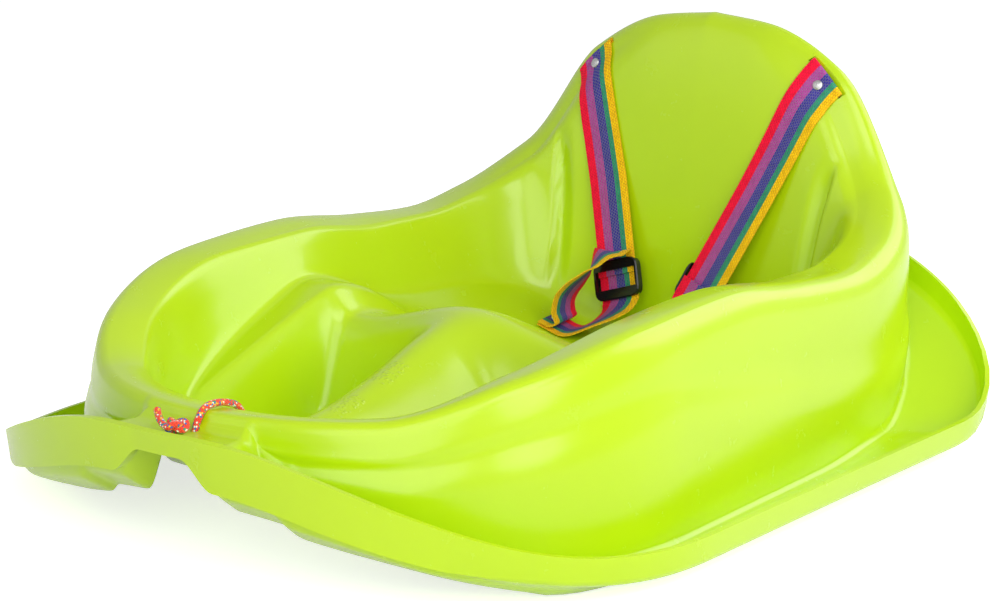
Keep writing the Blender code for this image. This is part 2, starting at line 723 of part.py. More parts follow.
def upper_rows(s):
    """From the slot over the rim, turned towards the slider and straight down to it."""
    stretch = math.sqrt(1 + s.lean**2)
    rows = [flat_row(s.crest - s.up * depth, s.along * stretch, -s.inward) for depth in (0.0085, 0.0045, 0.0005)]
    rows.append([(p, (n - s.inward * 0.9).normalized()) for p, n in s.on_rim(0.0012, 0.0006)])
    for distance in (0.0026, 0.0046, RIM_LIE):
        rows.append(s.on_rim(distance))
    edge, normal = s.edge
    way = s.inward + s.along * s.lean
    way = (way - normal * way.dot(normal)).normalized()
    turned_at = edge + s.run * STRAP_TURN + s.front * 0.001
    for t in (0.14, 0.28, 0.42, 0.56, 0.7, 0.85, 1.0):
        centre = hermite(edge, way * 0.014, turned_at, s.run * 0.014, t)
        n = normal.lerp(s.front, float(smooth(t * 1.4))).normalized()
        a = s.along.lerp(s.across, float(smooth(t)))
        a = (a - n * a.dot(n)).normalized() * mix(stretch, 1.0, float(smooth(t)))
        rows.append(s.laid(flat_row(centre, a, n)))
    top = s.slider - s.run * (STRAP_SLIDE + SLIDER_HEIGHT / 2 + 0.004)
    for t in (0.25, 0.5, 0.75):
        rows.append(s.laid(flat_row(turned_at.lerp(top, t), s.across, s.front)))
    for place in (top, s.slider):
        rows.append(flat_row(place, s.across, s.front))
    return rows


def lower_rows(s, lift=0.0):
    """From the slider down to the seat, turned a quarter to lie under the rivet."""
    foot = s.slider + s.run * (SLIDER_HEIGHT / 2 + 0.0012)
    start = s.slider + s.run * (SLIDER_HEIGHT / 2 - 0.003)
    flat = s.anchor + s.seat * (SEAT_GAP + STRAP_THICK / 2 + 0.0006)
    touch = flat - s.land * 0.011
    stations = [(start, s.across), (start.lerp(foot, 0.6), s.across)]
    for k in range(6):
        t = k / 5
        centre = hermite(foot, s.run * 0.022, touch, s.land * 0.026, t)
        stations.append((centre, s.across.lerp(s.seat_across, float(smooth(t)))))
    stations.append((flat, s.seat_across))
    stations.append((flat + s.land * 0.0055, s.seat_across))
    rows = swept(stations, 2, 2)[:-4]
    rows += [flat_row(flat, s.seat_across, s.seat), flat_row(flat + s.land * 0.0055, s.seat_across, s.seat)]
    least = SEAT_GAP + STRAP_THICK / 2 + 0.0003
    rows = [s.laid(row, least) for row in rows]
    return [[(point + n * lift, n) for point, n in row] for row in rows]


def strap_rows(s):
    return upper_rows(s) + lower_rows(s)


def laid_tail_rows(s):
    """A short length from the slider's middle bar, lying on the strap's lower run."""
    high = SLIDER_BACK + SEAT_GAP + STRAP_THICK / 2
    places = ((-0.0026, high), (0.004, high), (SLIDER_HEIGHT / 2 + 0.0006, high))
    rows = [flat_row(s.slider + s.run * d + s.front * n, s.across, s.front) for d, n in places]
    lower = lower_rows(s, STRAP_THICK + SEAT_GAP)[6:]
    for k in range(6):
        lower[k] = [(point + n * 0.0004 * (6 - k), n) for point, n in lower[k]]
    return rows + lower


def loose_tail_rows(s):
    """A length that leaves the window behind the slider's top bar and hangs in a loop down to the same rivet."""
    lift = STRAP_THICK + SEAT_GAP
    stations = []
    top = SLIDER_HEIGHT / 2
    for high, ahead in ((SLIDER_MIDDLE / 2 + 0.001, 0), (top - 0.004, 0), (top + 0.0012, 0.0001), (top + 0.0042, 0.0022)):
        stations.append((s.slider - s.run * high + s.front * (lift + ahead), s.across))
    for (outward, ahead, up), turn in zip(LOOP_PLACES, LOOP_TURNS):
        place = s.slider + Vector((s.side * outward, -ahead, up))
        angle = math.radians(turn)
        tilt = 0.3 * float(smooth((turn - 45) / 20)) * float(smooth((94 - turn) / 14))
        stations.append((place, Vector((math.cos(angle), s.side * math.sin(angle), tilt))))
    flat = s.anchor + s.seat * (2 * SEAT_GAP + STRAP_THICK * 1.5 + 0.0010)
    for along, up in ((-0.0072, 0.0046), (-0.0048, 0.0013), (-0.0020, 0.0), (0.0, 0.0), (0.0055, 0.0)):
        stations.append((flat + s.land * along + s.seat * up, s.seat_across))
    return [[(point, -n) for point, n in row] for row in swept(stations, 2, len(stations))]


for old in list(bpy.data.objects):
    bpy.data.objects.remove(old, do_unlink=True)

LIME = material("lime_plastic", (0.50, 0.80, 0.02), 0.22)
WEBBING = material("striped_webbing", (0.23, 0.10, 0.36), 0.8)
BUCKLE = material("black_plastic", (0.012, 0.012, 0.013), 0.35)
STEEL = material("rivet_steel", (0.70, 0.70, 0.68), 0.3, 1.0)
ROPE = material("red_cord", (0.86, 0.06, 0.05), 0.75)

shell = build_shell(LIME)
tree = tree_of(shell)


def rivet_at(name, origin, normal, across, stack, holes):
    """A rivet whose head lies on the strap and whose shank goes through everything below."""
    x, y, z = axes_of(normal, across)
    head = RIVET_LIFT
    tail = -(stack + WALL + 0.0024)
    profile = [(0, head + RIVET_RISE), (RIVET_HEAD * 0.55, head + RIVET_RISE * 0.85)]
    profile += [(RIVET_HEAD * 0.92, head + RIVET_RISE * 0.4), (RIVET_HEAD, head), (RIVET_SHANK, head)]
    profile += [(RIVET_SHANK, tail), (RIVET_HEAD * 0.8, tail), (RIVET_HEAD * 0.8, tail - 0.0009), (0, tail - 0.0009)]
    bm = turned(profile)
    place(bm, origin, x, y, z)
    rivet = add_object(name, bm, STEEL)
    hole = turned([(0, 0.006), (RIVET_SHANK + RIVET_CLEAR, 0.006), (RIVET_SHANK + RIVET_CLEAR, -0.014), (0, -0.014)], 12)
    place(hole, origin, x, y, z)
    tool = cutter(name + "_hole", hole)
    for target in holes:
        cut(target, tool)
    return rivet


def build_side(name, side, slider_at, flipped):
    s = Side(tree, side, slider_at)
    rows = strap_rows(s)
    strap = add_object("harness_strap_" + name, ribbon(rows, STRAP_THICK), WEBBING)
    tail_rows = laid_tail_rows(s) if flipped else loose_tail_rows(s)
    tail = add_object("harness_tail_" + name, ribbon(tail_rows, STRAP_THICK), WEBBING)
    slot = block((SLOT_LENGTH, SLOT_OPEN, 0.016))
    x, y, z = axes_of(s.up, s.along)
    place(slot, s.crest, x, y, z)
    cut(shell, cutter("slot_" + name, slot))
    point, normal = rows[5][COLUMNS // 2]
    stack = STRAP_THICK + SEAT_GAP
    rivet_at("rivet_upper_" + name, point + normal * STRAP_THICK / 2, normal, s.along, stack, [shell, strap])
    point = tail_rows[-2 if flipped else -3][COLUMNS // 2][0]
    stack = 2 * stack + 0.0014
    rivet_at("rivet_lower_" + name, point + s.seat * STRAP_THICK / 2, s.seat, s.seat_across, stack, [shell, strap, tail])

    z = -s.front if flipped else s.front
    x = s.across
    y = z.cross(x)
    deep = SLIDER_FRONT + SLIDER_BACK
    bm = block((SLIDER_WIDTH, SLIDER_HEIGHT, deep), (0, 0, (SLIDER_FRONT - SLIDER_BACK) / 2))
    corners = [e for e in bm.edges if abs((e.verts[0].co - e.verts[1].co).z) > 1e-6]
    bmesh.ops.bevel(bm, geom=corners, offset=0.006, segments=4, profile=0.5, affect="EDGES")
    rims = [e for e in bm.edges if abs((e.verts[0].co - e.verts[1].co).z) < 1e-6]
    bmesh.ops.bevel(bm, geom=rims, offset=0.0008, segments=1, profile=0.5, affect="EDGES")
    place(bm, Vector((0, 0, 0)), x, y, z)
    slider = add_object("strap_slider_" + name, face_out(bm), BUCKLE)
    slider.location = s.slider
    wide = STRAP_WIDTH + 2 * SLIDER_SPARE
    clear = STRAP_THICK / 2 + RIVET_CLEAR
    window = block((wide + 0.0004, SLIDER_HEIGHT - 2 * SLIDER_BAR, 0.02))
    relief = block((wide, SLIDER_HEIGHT + 0.01, 0.02), (0, 0, clear - 0.01))
    tools = [("window", window), ("relief", relief)]
    if not flipped:
        lift = STRAP_THICK + SEAT_GAP
        tools.append(("loop_relief", block((wide - 0.0006, SLIDER_HEIGHT / 2 + 0.004, 2 * lift), (0, SLIDER_HEIGHT / 4 + 0.0027, clear))))
    for label, tool in tools:
        place(tool, s.slider, x, y, z)
        cut(slider, cutter("slider_" + label + "_" + name, tool))
    bar = block((wide + 0.002, SLIDER_MIDDLE, SLIDER_BACK - clear - 0.0002), (0, 0, -(SLIDER_BACK + clear) / 2))
    place(bar, s.slider, x, y, z)
    cut(slider, cutter("slider_bar_" + name, bar), "UNION")
    print(name, "slider", [round(v, 4) for v in s.slider], "slides along", [round(-v, 5) for v in s.run])
    print(name, "anchor", [round(v, 4) for v in s.anchor], "crest", [round(v, 4) for v in s.crest])


build_side("left", 1, LEFT_SLIDER_AT, True)
build_side("right", -1, RIGHT_SLIDER_AT, False)


def tube(name, points, diameter, resolution=2):
    curve = bpy.data.curves.new(name, "CURVE")
    curve.dimensions = "3D"
    curve.bevel_depth = diameter / 2
    curve.bevel_resolution = resolution
    curve.use_fill_caps = True
    line = curve.splines.new("POLY")
    line.points.add(len(points) - 1)
    for target, point in zip(line.points, points):
        target.co = (*point, 1.0)
    curve.materials.append(ROPE)
    obj = bpy.data.objects.new(name, curve)
    bpy.context.scene.collection.objects.link(obj)
    return obj


def through(knots, step):
    """Points a step apart on a smooth curve through the given places."""
    points = [Vector(k) for k in knots]
    ends = [points[0] * 2 - points[1]] + points + [points[-1] * 2 - points[-2]]
    dense = []
    for i in range(1, len(ends) - 2):
        a, b, c, d = ends[i - 1 : i + 3]
        ta, tb = (c - a) / 2, (d - b) / 2
        for k in range(20):
            dense.append(hermite(b, ta, c, tb, k / 20))
    dense.append(points[-1])
    length = [0.0]
    for a, b in zip(dense, dense[1:]):
        length.append(length[-1] + (b - a).length)
    count = max(2, round(length[-1] / step))
    marks = np.linspace(0, length[-1], count + 1)
    table = np.array([tuple(p) for p in dense])
    return [Vector([float(np.interp(m, length, table[:, j])) for j in range(3)]) for m in marks], length[-1]


def least_gap(points, diameter, apart):
    """The smallest gap between stretches of one tube that lie further apart along it."""
    table = np.array([tuple(p) for p in points])
    least = 1.0
    for i in range(len(table)):
        rest = table[i + apart :]
        if len(rest):
            least = min(least, float(np.linalg.norm(rest - table[i], axis=1).min()))
    return least - diameter


bridge_under = BRIDGE_HEIGHT - WALL
knot_at = Vector((KNOT_X, KNOT_Y, BRIDGE_HEIGHT))
riser_at = Vector((RISER_X, RISER_Y, BRIDGE_HEIGHT))
for label, hole_at in (("knot_hole", knot_at), ("riser_hole", riser_at)):
    hole = turned([(0, 0.006), (CORD_HOLE / 2, 0.006), (CORD_HOLE / 2, -0.016), (0, -0.016)], 16)
    bmesh.ops.translate(hole, vec=hole_at, verts=hole.verts)
    cut(shell, cutter(label, hole))

half_cord = CORD / 2
rest = half_cord + SEAT_GAP
bend = (riser_at - knot_at).length / 2
underside = []
for k in range(1, 12):
    angle = math.pi * k / 12
    middle = (knot_at + riser_at) / 2
    across = (riser_at - knot_at) / 2
    low = middle - across * math.cos(angle)
    underside.append(Vector((low.x, low.y, bridge_under - 0.0005 - bend * math.sin(angle))))
knot_height = CORD * 2.1
first = [knot_at + Vector((0, 0, h)) for h in (knot_height, 0.0035, 0.0, -WALL)]
coil_at = Vector((COIL_X, COIL_Y, 0))
floors = []
for k in range(24):
    angle = 2 * math.pi * k / 24
    hit, _ = drop(tree, COIL_X + COIL_RADIUS * math.cos(angle), COIL_Y + COIL_RADIUS * math.sin(angle))
    floors.append(hit.z)
coil_floor = max(floors) + rest + 0.0002


def above(x, y, more=0.0):
    """A place for the cord's middle that clears the shell on every side."""
    hit, normal = drop(tree, x, y)
    return cleared(hit + normal * (rest + more), more)


def cleared(point, more=0.0):
    for _ in range(12):
        near, n, _, gap = tree.find_nearest(point)
        if gap >= rest + more - 1e-5:
            break
        point = point + (point - near).normalized() * (rest + more - gap + 1e-4)
    return point


riser = [riser_at + Vector((0, 0, h)) for h in (-WALL, 0.0015)]
over_y = [RISER_Y + 0.007, 0.005 - OPEN_NOSE]
over = [above(mix(RISER_X, OVER_X, k / 9), mix(*over_y, k / 9), 0.0006) for k in range(10)]
t_angle = math.radians(COIL_ENTRY)
touch_x = COIL_X + COIL_RADIUS * math.cos(t_angle) + 0.018 * math.sin(t_angle)
touch_y = COIL_Y + COIL_RADIUS * math.sin(t_angle) - 0.018 * math.cos(t_angle)
inside = [above(mix(OVER_X, touch_x, k / 9), mix(over_y[1], touch_y, k / 9), 0.0008) for k in range(1, 8)]
start_angle = math.radians(COIL_ENTRY)
radial = Vector((math.cos(start_angle), math.sin(start_angle), 0))
forward = Vector((-radial.y, radial.x, 0))
entry = coil_at + radial * COIL_RADIUS + Vector((0, 0, coil_floor))
lead = [entry - forward * 0.018 + Vector((0, 0, 0.0015)), entry - forward * 0.006, entry]
knots = first + underside + riser + over + inside + lead
free, free_length = through(knots, CORD * 1.5)
free = [cleared(p, 0.0001) if p.z > BRIDGE_HEIGHT + 0.004 or p.y > RISER_Y + 0.0155 else p for p in free[:-3]] + free[-3:]
print("free cord", round(free_length, 4), "m,", len(free), "points")
tube("tow_cord", free, CORD, 2)

turns = []
for k in range(COIL_TURNS * 24 + 1):
    angle = start_angle + 2 * math.pi * k / 24
    rise = coil_floor + COIL_PITCH * k / 24
    turns.append(coil_at + Vector((COIL_RADIUS * math.cos(angle), COIL_RADIUS * math.sin(angle), rise)))
shift = forward * 0.0003
turns[0] = turns[0] + shift
gap = least_gap(turns, CORD, 14)
coil_length = sum((b - a).length for a, b in zip(turns, turns[1:]))
print("coil", round(coil_length, 4), "m, least gap to itself", round(gap * 1000, 2), "mm")
tube("cord_coil", turns, CORD, 1)

wrap = []
wrap_radius = CORD + SEAT_GAP
for k in range(26):
    angle = math.radians(270) + 2 * math.pi * k / 23.5
    rise = BRIDGE_HEIGHT + rest + 0.0003 + wrap_radius * k / 23.5
    wrap.append(Vector((knot_at.x + wrap_radius * math.cos(angle), knot_at.y + wrap_radius * math.sin(angle), rise)))
tail_end = [wrap[0] + Vector((-0.0034 * k, 0.00008 * k * k, 0.00012 * k * k)) for k in range(6, 0, -1)]
tube("cord_knot", tail_end + wrap, CORD, 2)

tie_angle = math.radians(60)
radial = Vector((math.cos(tie_angle), math.sin(tie_angle), 0))
phase = (tie_angle - start_angle) / (2 * math.pi)
low = coil_floor + COIL_PITCH * phase
high = low + COIL_PITCH * (COIL_TURNS - 1)
ease = half_cord + SEAT_GAP + TIE / 2
loop = []
for k in range(24):
    angle = math.pi * (k % 12) / 11
    if k < 12:
        loop.append((ease * math.cos(angle), high + ease * math.sin(angle)))
    else:
        loop.append((-ease * math.cos(angle), low - ease * math.sin(angle)))
tie = tube("cord_tie", [coil_at + radial * (COIL_RADIUS + out) + Vector((0, 0, z)) for out, z in loop], TIE, 1)
tie.data.splines[0].use_cyclic_u = True

# The origin lies under the middle of the sled's length
for obj in bpy.data.objects:
    obj.location.y -= (LIP_TAIL - LIP_NOSE) / 2
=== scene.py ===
# %% [markdown]
# # A toddler sled
# A moulded sled with a high backrest, a two-strap harness and a tow cord. The
# rigid pieces come from the engineering model. This script dresses them: it
# sets the camera and the studio, then makes the finishes, the cord, the
# webbing and the shell, and dresses the buckles and the rivets.

import math

import bmesh
import bpy
import numpy as np
from mathutils import Matrix, Vector
from mathutils.bvhtree import BVHTree


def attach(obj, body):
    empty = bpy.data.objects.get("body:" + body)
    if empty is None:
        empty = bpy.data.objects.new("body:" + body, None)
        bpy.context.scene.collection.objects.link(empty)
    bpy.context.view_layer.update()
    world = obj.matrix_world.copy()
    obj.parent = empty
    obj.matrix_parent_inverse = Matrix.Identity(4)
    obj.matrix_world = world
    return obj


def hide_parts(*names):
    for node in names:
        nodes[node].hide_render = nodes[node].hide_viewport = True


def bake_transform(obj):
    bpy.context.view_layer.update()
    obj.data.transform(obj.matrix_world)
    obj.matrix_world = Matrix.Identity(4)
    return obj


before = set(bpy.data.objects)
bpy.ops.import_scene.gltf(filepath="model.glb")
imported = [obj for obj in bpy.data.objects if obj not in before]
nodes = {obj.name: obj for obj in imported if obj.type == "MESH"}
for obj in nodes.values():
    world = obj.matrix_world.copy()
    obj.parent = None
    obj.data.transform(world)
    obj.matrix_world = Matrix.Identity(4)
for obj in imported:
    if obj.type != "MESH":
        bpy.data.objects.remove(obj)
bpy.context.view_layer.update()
print("nodes:", sorted(nodes))

# %% [markdown]
# ## Camera
# The picture was taken from the front left, a little above the rim, with a
# long lens. These values were solved from the outline of the lip, because a
# camera set by eye would put every piece a little beside its place.

# %% Camera
CAMERA_AT = (0.98744, -1.27466, 0.47180)
CAMERA_TURN = (90 - 12.91, 0.0, 37.33)
CAMERA_LENS = 97.48
SENSOR_WIDTH = 36.0

camera_data = bpy.data.cameras.new("camera")
camera_data.lens = CAMERA_LENS
camera_data.sensor_width = SENSOR_WIDTH
camera = bpy.data.objects.new("camera", camera_data)
camera.location = CAMERA_AT
camera.rotation_euler = [math.radians(a) for a in CAMERA_TURN]
bpy.context.scene.collection.objects.link(camera)
bpy.context.scene.camera = camera
print("camera", CAMERA_AT, "lens", CAMERA_LENS)

# %% [markdown]
# ## Lamps
# A glossy moulding needs large soft lamps: a small one would leave a hard spark
# on every edge. Two keys stand to the right of the picture and draw the long
# glints on the rim, and three wider lamps keep the shadows open. Each is a round
# area lamp with a size in metres and a power in watts.

# %% Lamps
LAMP_AIM = (0.0, 0.0, 0.08)
LAMPS = (
    ("key_low", (2.0, -0.5, 0.75), 1.0, 8.5),
    ("key_high", (1.6, -0.6, 1.6), 1.0, 9.5),
    ("fill", (-1.2, -1.6, 1.2), 1.8, 5),
    ("front", (1.0, -1.8, 1.0), 2.0, 22),
    ("back", (1.2, 1.5, 1.2), 2.0, 26),
)

scene = bpy.context.scene
scene.view_settings.view_transform = "Standard"


def area_lamp(name, place, size, power):
    """A round soft lamp, turned towards the sled."""
    data = bpy.data.lights.new(name, "AREA")
    data.shape = "DISK"
    data.size = size
    data.energy = power
    lamp = bpy.data.objects.new(name, data)
    lamp.location = place
    lamp.rotation_euler = (Vector(LAMP_AIM) - Vector(place)).to_track_quat("-Z", "Y").to_euler()
    scene.collection.objects.link(lamp)


for lamp in LAMPS:
    area_lamp(*lamp)
print("lamps:", [lamp[0] for lamp in LAMPS])

# %% [markdown]
# ## Node helpers
# The sky, the sheet and every finish are shader nodes. These helpers add nodes,
# set their inputs and join small sums, so that the cells below read like the
# formulas that they build.

# %% Node helpers
def new_nodes(net, *kinds):
    """Adds nodes by their type names and gives them back in that order."""
    return [net.nodes.new("ShaderNode" + kind) for kind in kinds]


def set_inputs(node, values):
    """Sets a node's inputs from their names and values."""
    for label, value in values.items():
        node.inputs[label].default_value = value


def feed(net, socket, value):
    """Joins a socket to another one, or gives it a plain value."""
    if isinstance(value, bpy.types.NodeSocket):
        net.links.new(value, socket)
    else:
        socket.default_value = value


def maths(net, operation, a, b=None):
    """A Math node, each input a socket or a number."""
    node = net.nodes.new("ShaderNodeMath")
    node.operation = operation
    feed(net, node.inputs[0], a)
    if b is not None:
        feed(net, node.inputs[1], b)
    return node.outputs[0]


# %% [markdown]
# ## The sky
# The photograph has a pure white ground with an open, soft shade on the sled. One
# even sky can't give both. The Light Path node tells the rays apart: the camera
# sees white, a glossy reflection sees a little more than half of that step, and
# the light that falls on the sled stays low.

# %% Sky
WHITE = (1, 1, 1, 1)
SKY_STRENGTH = 0.25
SKY_IN_GLOSS = 0.55

world = bpy.data.worlds.new("studio")
world.use_nodes = True
sky = world.node_tree
sky_shader = sky.nodes["Background"]
(ray,) = new_nodes(sky, "LightPath")
seen = maths(sky, "MAXIMUM", ray.outputs["Is Camera Ray"], ray.outputs["Is Transmission Ray"])
seen = maths(sky, "MAXIMUM", seen, maths(sky, "MULTIPLY", ray.outputs["Is Glossy Ray"], SKY_IN_GLOSS))
strength = maths(sky, "ADD", SKY_STRENGTH, maths(sky, "MULTIPLY", seen, 1 - SKY_STRENGTH))
sky_shader.inputs["Color"].default_value = WHITE
sky.links.new(strength, sky_shader.inputs["Strength"])
scene.world = world
print("sky", SKY_STRENGTH, "in gloss", SKY_IN_GLOSS)

# %% [markdown]
# ## The sheet
# The sled stands on a sheet of white paper. A plane that only catches light looks
# grey, and one that only shines has no shadow. So the plane catches light and
# also shines a little, for the camera and in part for the gloss, and the soft
# shadow stays on it.

# %% Sheet
SHEET_SIZE = 12
SHEET_DROP = 0.0005
SHEET_LIFT = 0.70

bpy.ops.object.select_all(action="DESELECT")
bpy.ops.mesh.primitive_plane_add(size=SHEET_SIZE, location=(0, 0, -SHEET_DROP))
floor = bpy.context.object
floor.name = "floor"
sheet = bpy.data.materials.new("white_sheet")
sheet.use_nodes = True
net = sheet.node_tree
sheet_shader = net.nodes["Principled BSDF"]
set_inputs(
    sheet_shader,
    {
        "Base Color": (0.9, 0.9, 0.9, 1),
        "Roughness": 0.9,
        "Specular IOR Level": 0.1,
        "Emission Color": WHITE,
    },
)
(ray,) = new_nodes(net, "LightPath")
in_gloss = maths(net, "MULTIPLY", ray.outputs["Is Glossy Ray"], SKY_IN_GLOSS)
seen = maths(net, "MAXIMUM", ray.outputs["Is Camera Ray"], in_gloss)
net.links.new(maths(net, "MULTIPLY", seen, SHEET_LIFT), sheet_shader.inputs["Emission Strength"])
floor.data.materials.append(sheet)
print("sheet lift", SHEET_LIFT)

# %% [markdown]
# ## Soft curves
# A moulding has no hard corners, so its shape is written with a few soft curves:
# an even blend, a curve through given heights that never overshoots them, and a
# rounded outline whose corners are set by a power. Curves drawn by hand would do
# too, but formulas keep the shape tied to the same named sizes as the
# engineering model, so the finer mesh lies where its solids are.

# %% Curve helpers
TINY = 1e-12
QUARTER_POINTS = 160


def smooth(t):
    """An even blend from 0 to 1 with soft ends."""
    t = np.clip(t, 0.0, 1.0)
    return t * t * (3.0 - 2.0 * t)


def mix(a, b, t):
    """The place a share of the way from a to b."""
    return a + (b - a) * t


def eased(shares, values, s):
    """A curve without overshoot through the given values."""
    x = np.array(shares)
    y = np.array(values)
    step = np.diff(x)
    slope = np.diff(y) / step
    product = slope[1:] * slope[:-1]
    inner = np.where(product > 0, 2 * product / (slope[1:] + slope[:-1] + TINY), 0)
    tangent = np.concatenate([[slope[0]], inner, [slope[-1]]])
    k = np.clip(np.searchsorted(x, s, side="right") - 1, 0, len(x) - 2)
    t = (s - x[k]) / step[k]
    h1 = (1 + 2 * t) * (1 - t) ** 2
    h2 = t * (1 - t) ** 2
    h3 = t * t * (3 - 2 * t)
    h4 = t * t * (t - 1)
    return h1 * y[k] + h2 * step[k] * tangent[k] + h3 * y[k + 1] + h4 * step[k] * tangent[k + 1]


def outline(s, half, nose, tail, nose_y, tail_y, nose_power, tail_power):
    """Half a rounded outline, from the middle of the nose to the middle of the tail."""
    turn = np.linspace(0, math.pi / 2, QUARTER_POINTS)

    def quarter(reach, power):
        r = ((np.sin(turn) / half) ** power + (np.cos(turn) / reach) ** power) ** (-1 / power)
        return r * np.sin(turn), r * np.cos(turn)

    x1, d1 = quarter(nose + nose_y, nose_power)
    x2, d2 = quarter(tail - tail_y, tail_power)
    x = np.concatenate([x1, x2[::-1]])
    y = np.concatenate([nose_y - d1, (tail_y + d2)[::-1]])
    length = np.concatenate([[0], np.cumsum(np.hypot(np.diff(x), np.diff(y)))])
    length /= length[-1]
    return np.interp(s, length, x), np.interp(s, length, y)


# %% [markdown]
# ## The lip
# The outer edge of the sled is one rounded line that climbs at the nose and at
# the tail. All other lines of the moulding lie inside it, so it comes first. Nose
# and tail are measured from a point a little off the middle, and SETTLE is the
# small move that puts the middle of the length at the frame's origin.

# %% Lip
WALL = 0.003
LIP_HALF = 0.235
LIP_NOSE = 0.265
LIP_TAIL = 0.302
LIP_NOSE_Y = -0.077
LIP_TAIL_Y = 0.205
LIP_NOSE_POWER = 2.2
LIP_TAIL_POWER = 3.3
LIP_HEIGHT = 0.024
NOSE_RISE = 0.0626
NOSE_RISE_POWER = 1.11
NOSE_DIP = 0.0040
NOSE_DIP_WIDTH = 0.045
TAIL_RISE = 0.102
TAIL_RISE_POWER = 0.40
SETTLE = (LIP_NOSE - LIP_TAIL) / 2
LENGTH_POINTS = 400


def lip_outline(s):
    return outline(s, LIP_HALF, LIP_NOSE, LIP_TAIL, LIP_NOSE_Y, LIP_TAIL_Y, LIP_NOSE_POWER, LIP_TAIL_POWER)


def lip_height(x, y):
    """Height of the lip: level at the sides, raised at the tail and at the nose, where it dips a little."""
    across = np.clip(1 - (np.abs(x) / LIP_HALF) ** 2, 1e-6, 1)
    nose = np.clip((LIP_NOSE_Y - y) / (LIP_NOSE + LIP_NOSE_Y), 0, 1)
    tail = np.clip((y - LIP_TAIL_Y) / (LIP_TAIL - LIP_TAIL_Y), 0, 1)
    dip = NOSE_DIP * np.exp(-((x / NOSE_DIP_WIDTH) ** 2)) * nose
    rise = NOSE_RISE * across ** NOSE_RISE_POWER * nose
    return LIP_HEIGHT + rise + TAIL_RISE * across ** TAIL_RISE_POWER * tail - dip


def lip_length():
    x, y = lip_outline(np.linspace(0, 1, LENGTH_POINTS))
    return float(np.hypot(np.diff(x), np.diff(y)).sum())


LIP_LENGTH = lip_length()
print("lip length", round(2 * LIP_LENGTH, 4), "m")

# %% [markdown]
# ## Runners and bridge
# Under the nose the tray is pressed down into two runners that climb like skis,
# and between them a tunnel lets the snow pass under a flat bridge. Each of them
# fades out round the lip, so one function gives such a share for all of them.

# %% Runners and bridge
CHANNEL_DEPTH = 0.0055
RUNNER_TOE = 0.140
RUNNER_RISE = 0.038
RUNNER_REACH = 0.105
SKI_HALF = 0.073
SKI_SLOPE = 0.008
SKI_STEP = 0.005
SKI_AHEAD = 0.03
SKI_RAMP = 0.03
BRIDGE_HEIGHT = 0.0785
BRIDGE_HALF = 0.042
BRIDGE_SLOPE = 0.030
ROOF_HALF = 0.015
TUNNEL_HALF = 0.038
ROOF_SLOPE = TUNNEL_HALF - ROOF_HALF


def runner_height(y):
    """Height of the runners' foot: flat at first, then climbing to the nose."""
    return RUNNER_RISE * np.clip((-y - RUNNER_TOE) / RUNNER_REACH, 0, None) ** 2


def step_share(s, inner, slope):
    """1 up to the given distance from the middle of the nose, measured round the lip, then 0."""
    return 1 - smooth((s * LIP_LENGTH - inner) / slope)


def channel(s, y):
    """Top of the gutter over the runners, before the bridge is added."""
    rise = smooth((-y - RUNNER_TOE - SKI_AHEAD) / SKI_RAMP)
    return WALL + runner_height(y) + SKI_STEP * step_share(s, SKI_HALF, SKI_SLOPE) * rise


print("runners start", RUNNER_TOE, "m ahead, the bridge is", 2 * BRIDGE_HALF, "m wide")

# %% [markdown]
# ## Lines round the tub
# The tub stands in the tray and its wall rolls over into a rim. Each line round
# it lies a named step from the one before: the foot from the lip, then the
# shoulder, the crest and the opening. Most steps go inwards, and only the back
# of the shoulder leans out. A change of one size moves all the lines after it.

# %% Lines round the tub
SHELF_SIDE = 0.039
SHELF_NOSE = 0.028
SHELF_TAIL = 0.018
FOOT_HALF = LIP_HALF - SHELF_SIDE
FOOT_NOSE = LIP_NOSE - SHELF_NOSE
FOOT_TAIL = LIP_TAIL - SHELF_TAIL
FOOT_TAPER = 0.012
TAPER_START_Y = -0.100
TAPER_RUN = 0.320
LEAN_SIDE = 0.0125
LEAN_NOSE = 0.0020
LEAN_TAIL = 0.0025
SHOULDER_HALF = FOOT_HALF - LEAN_SIDE
SHOULDER_NOSE = FOOT_NOSE - LEAN_NOSE
SHOULDER_TAIL = FOOT_TAIL + LEAN_TAIL
ROLL_SIDE = 0.0095
ROLL_NOSE = 0.0040
ROLL_TAIL = 0.0075
CREST_HALF = SHOULDER_HALF - ROLL_SIDE
CREST_NOSE = SHOULDER_NOSE - ROLL_NOSE
CREST_TAIL = SHOULDER_TAIL - ROLL_TAIL
RIM_SIDE = 0.022
RIM_NOSE = 0.021
RIM_TAIL = 0.012
OPEN_HALF = CREST_HALF - RIM_SIDE
OPEN_NOSE = CREST_NOSE - RIM_NOSE
OPEN_TAIL = CREST_TAIL - RIM_TAIL
RIM_NOSE_Y = -0.041
RIM_TAIL_Y = 0.026
RIM_NOSE_POWER = 2.1
RIM_TAIL_POWER = 6.0


def rim_outline(s, half, nose, tail):
    return outline(s, half, nose, tail, RIM_NOSE_Y, RIM_TAIL_Y, RIM_NOSE_POWER, RIM_TAIL_POWER)


def wall_foot(s):
    """The foot of the tub's wall, a little narrower towards the tail."""
    x, y = rim_outline(s, FOOT_HALF, FOOT_NOSE, FOOT_TAIL)
    return x * (1 - FOOT_TAPER / FOOT_HALF * np.clip((y - TAPER_START_Y) / TAPER_RUN, 0, 1)), y


def lip_to_foot(s):
    """The lip, the foot of the tub's wall and the distance between them."""
    lx, ly = lip_outline(s)
    fx, fy = wall_foot(s)
    return lx, ly, fx, fy, np.hypot(lx - fx, ly - fy)


print("opening", round(2 * OPEN_HALF, 4), "m wide and", round(OPEN_NOSE + OPEN_TAIL, 4), "m long")

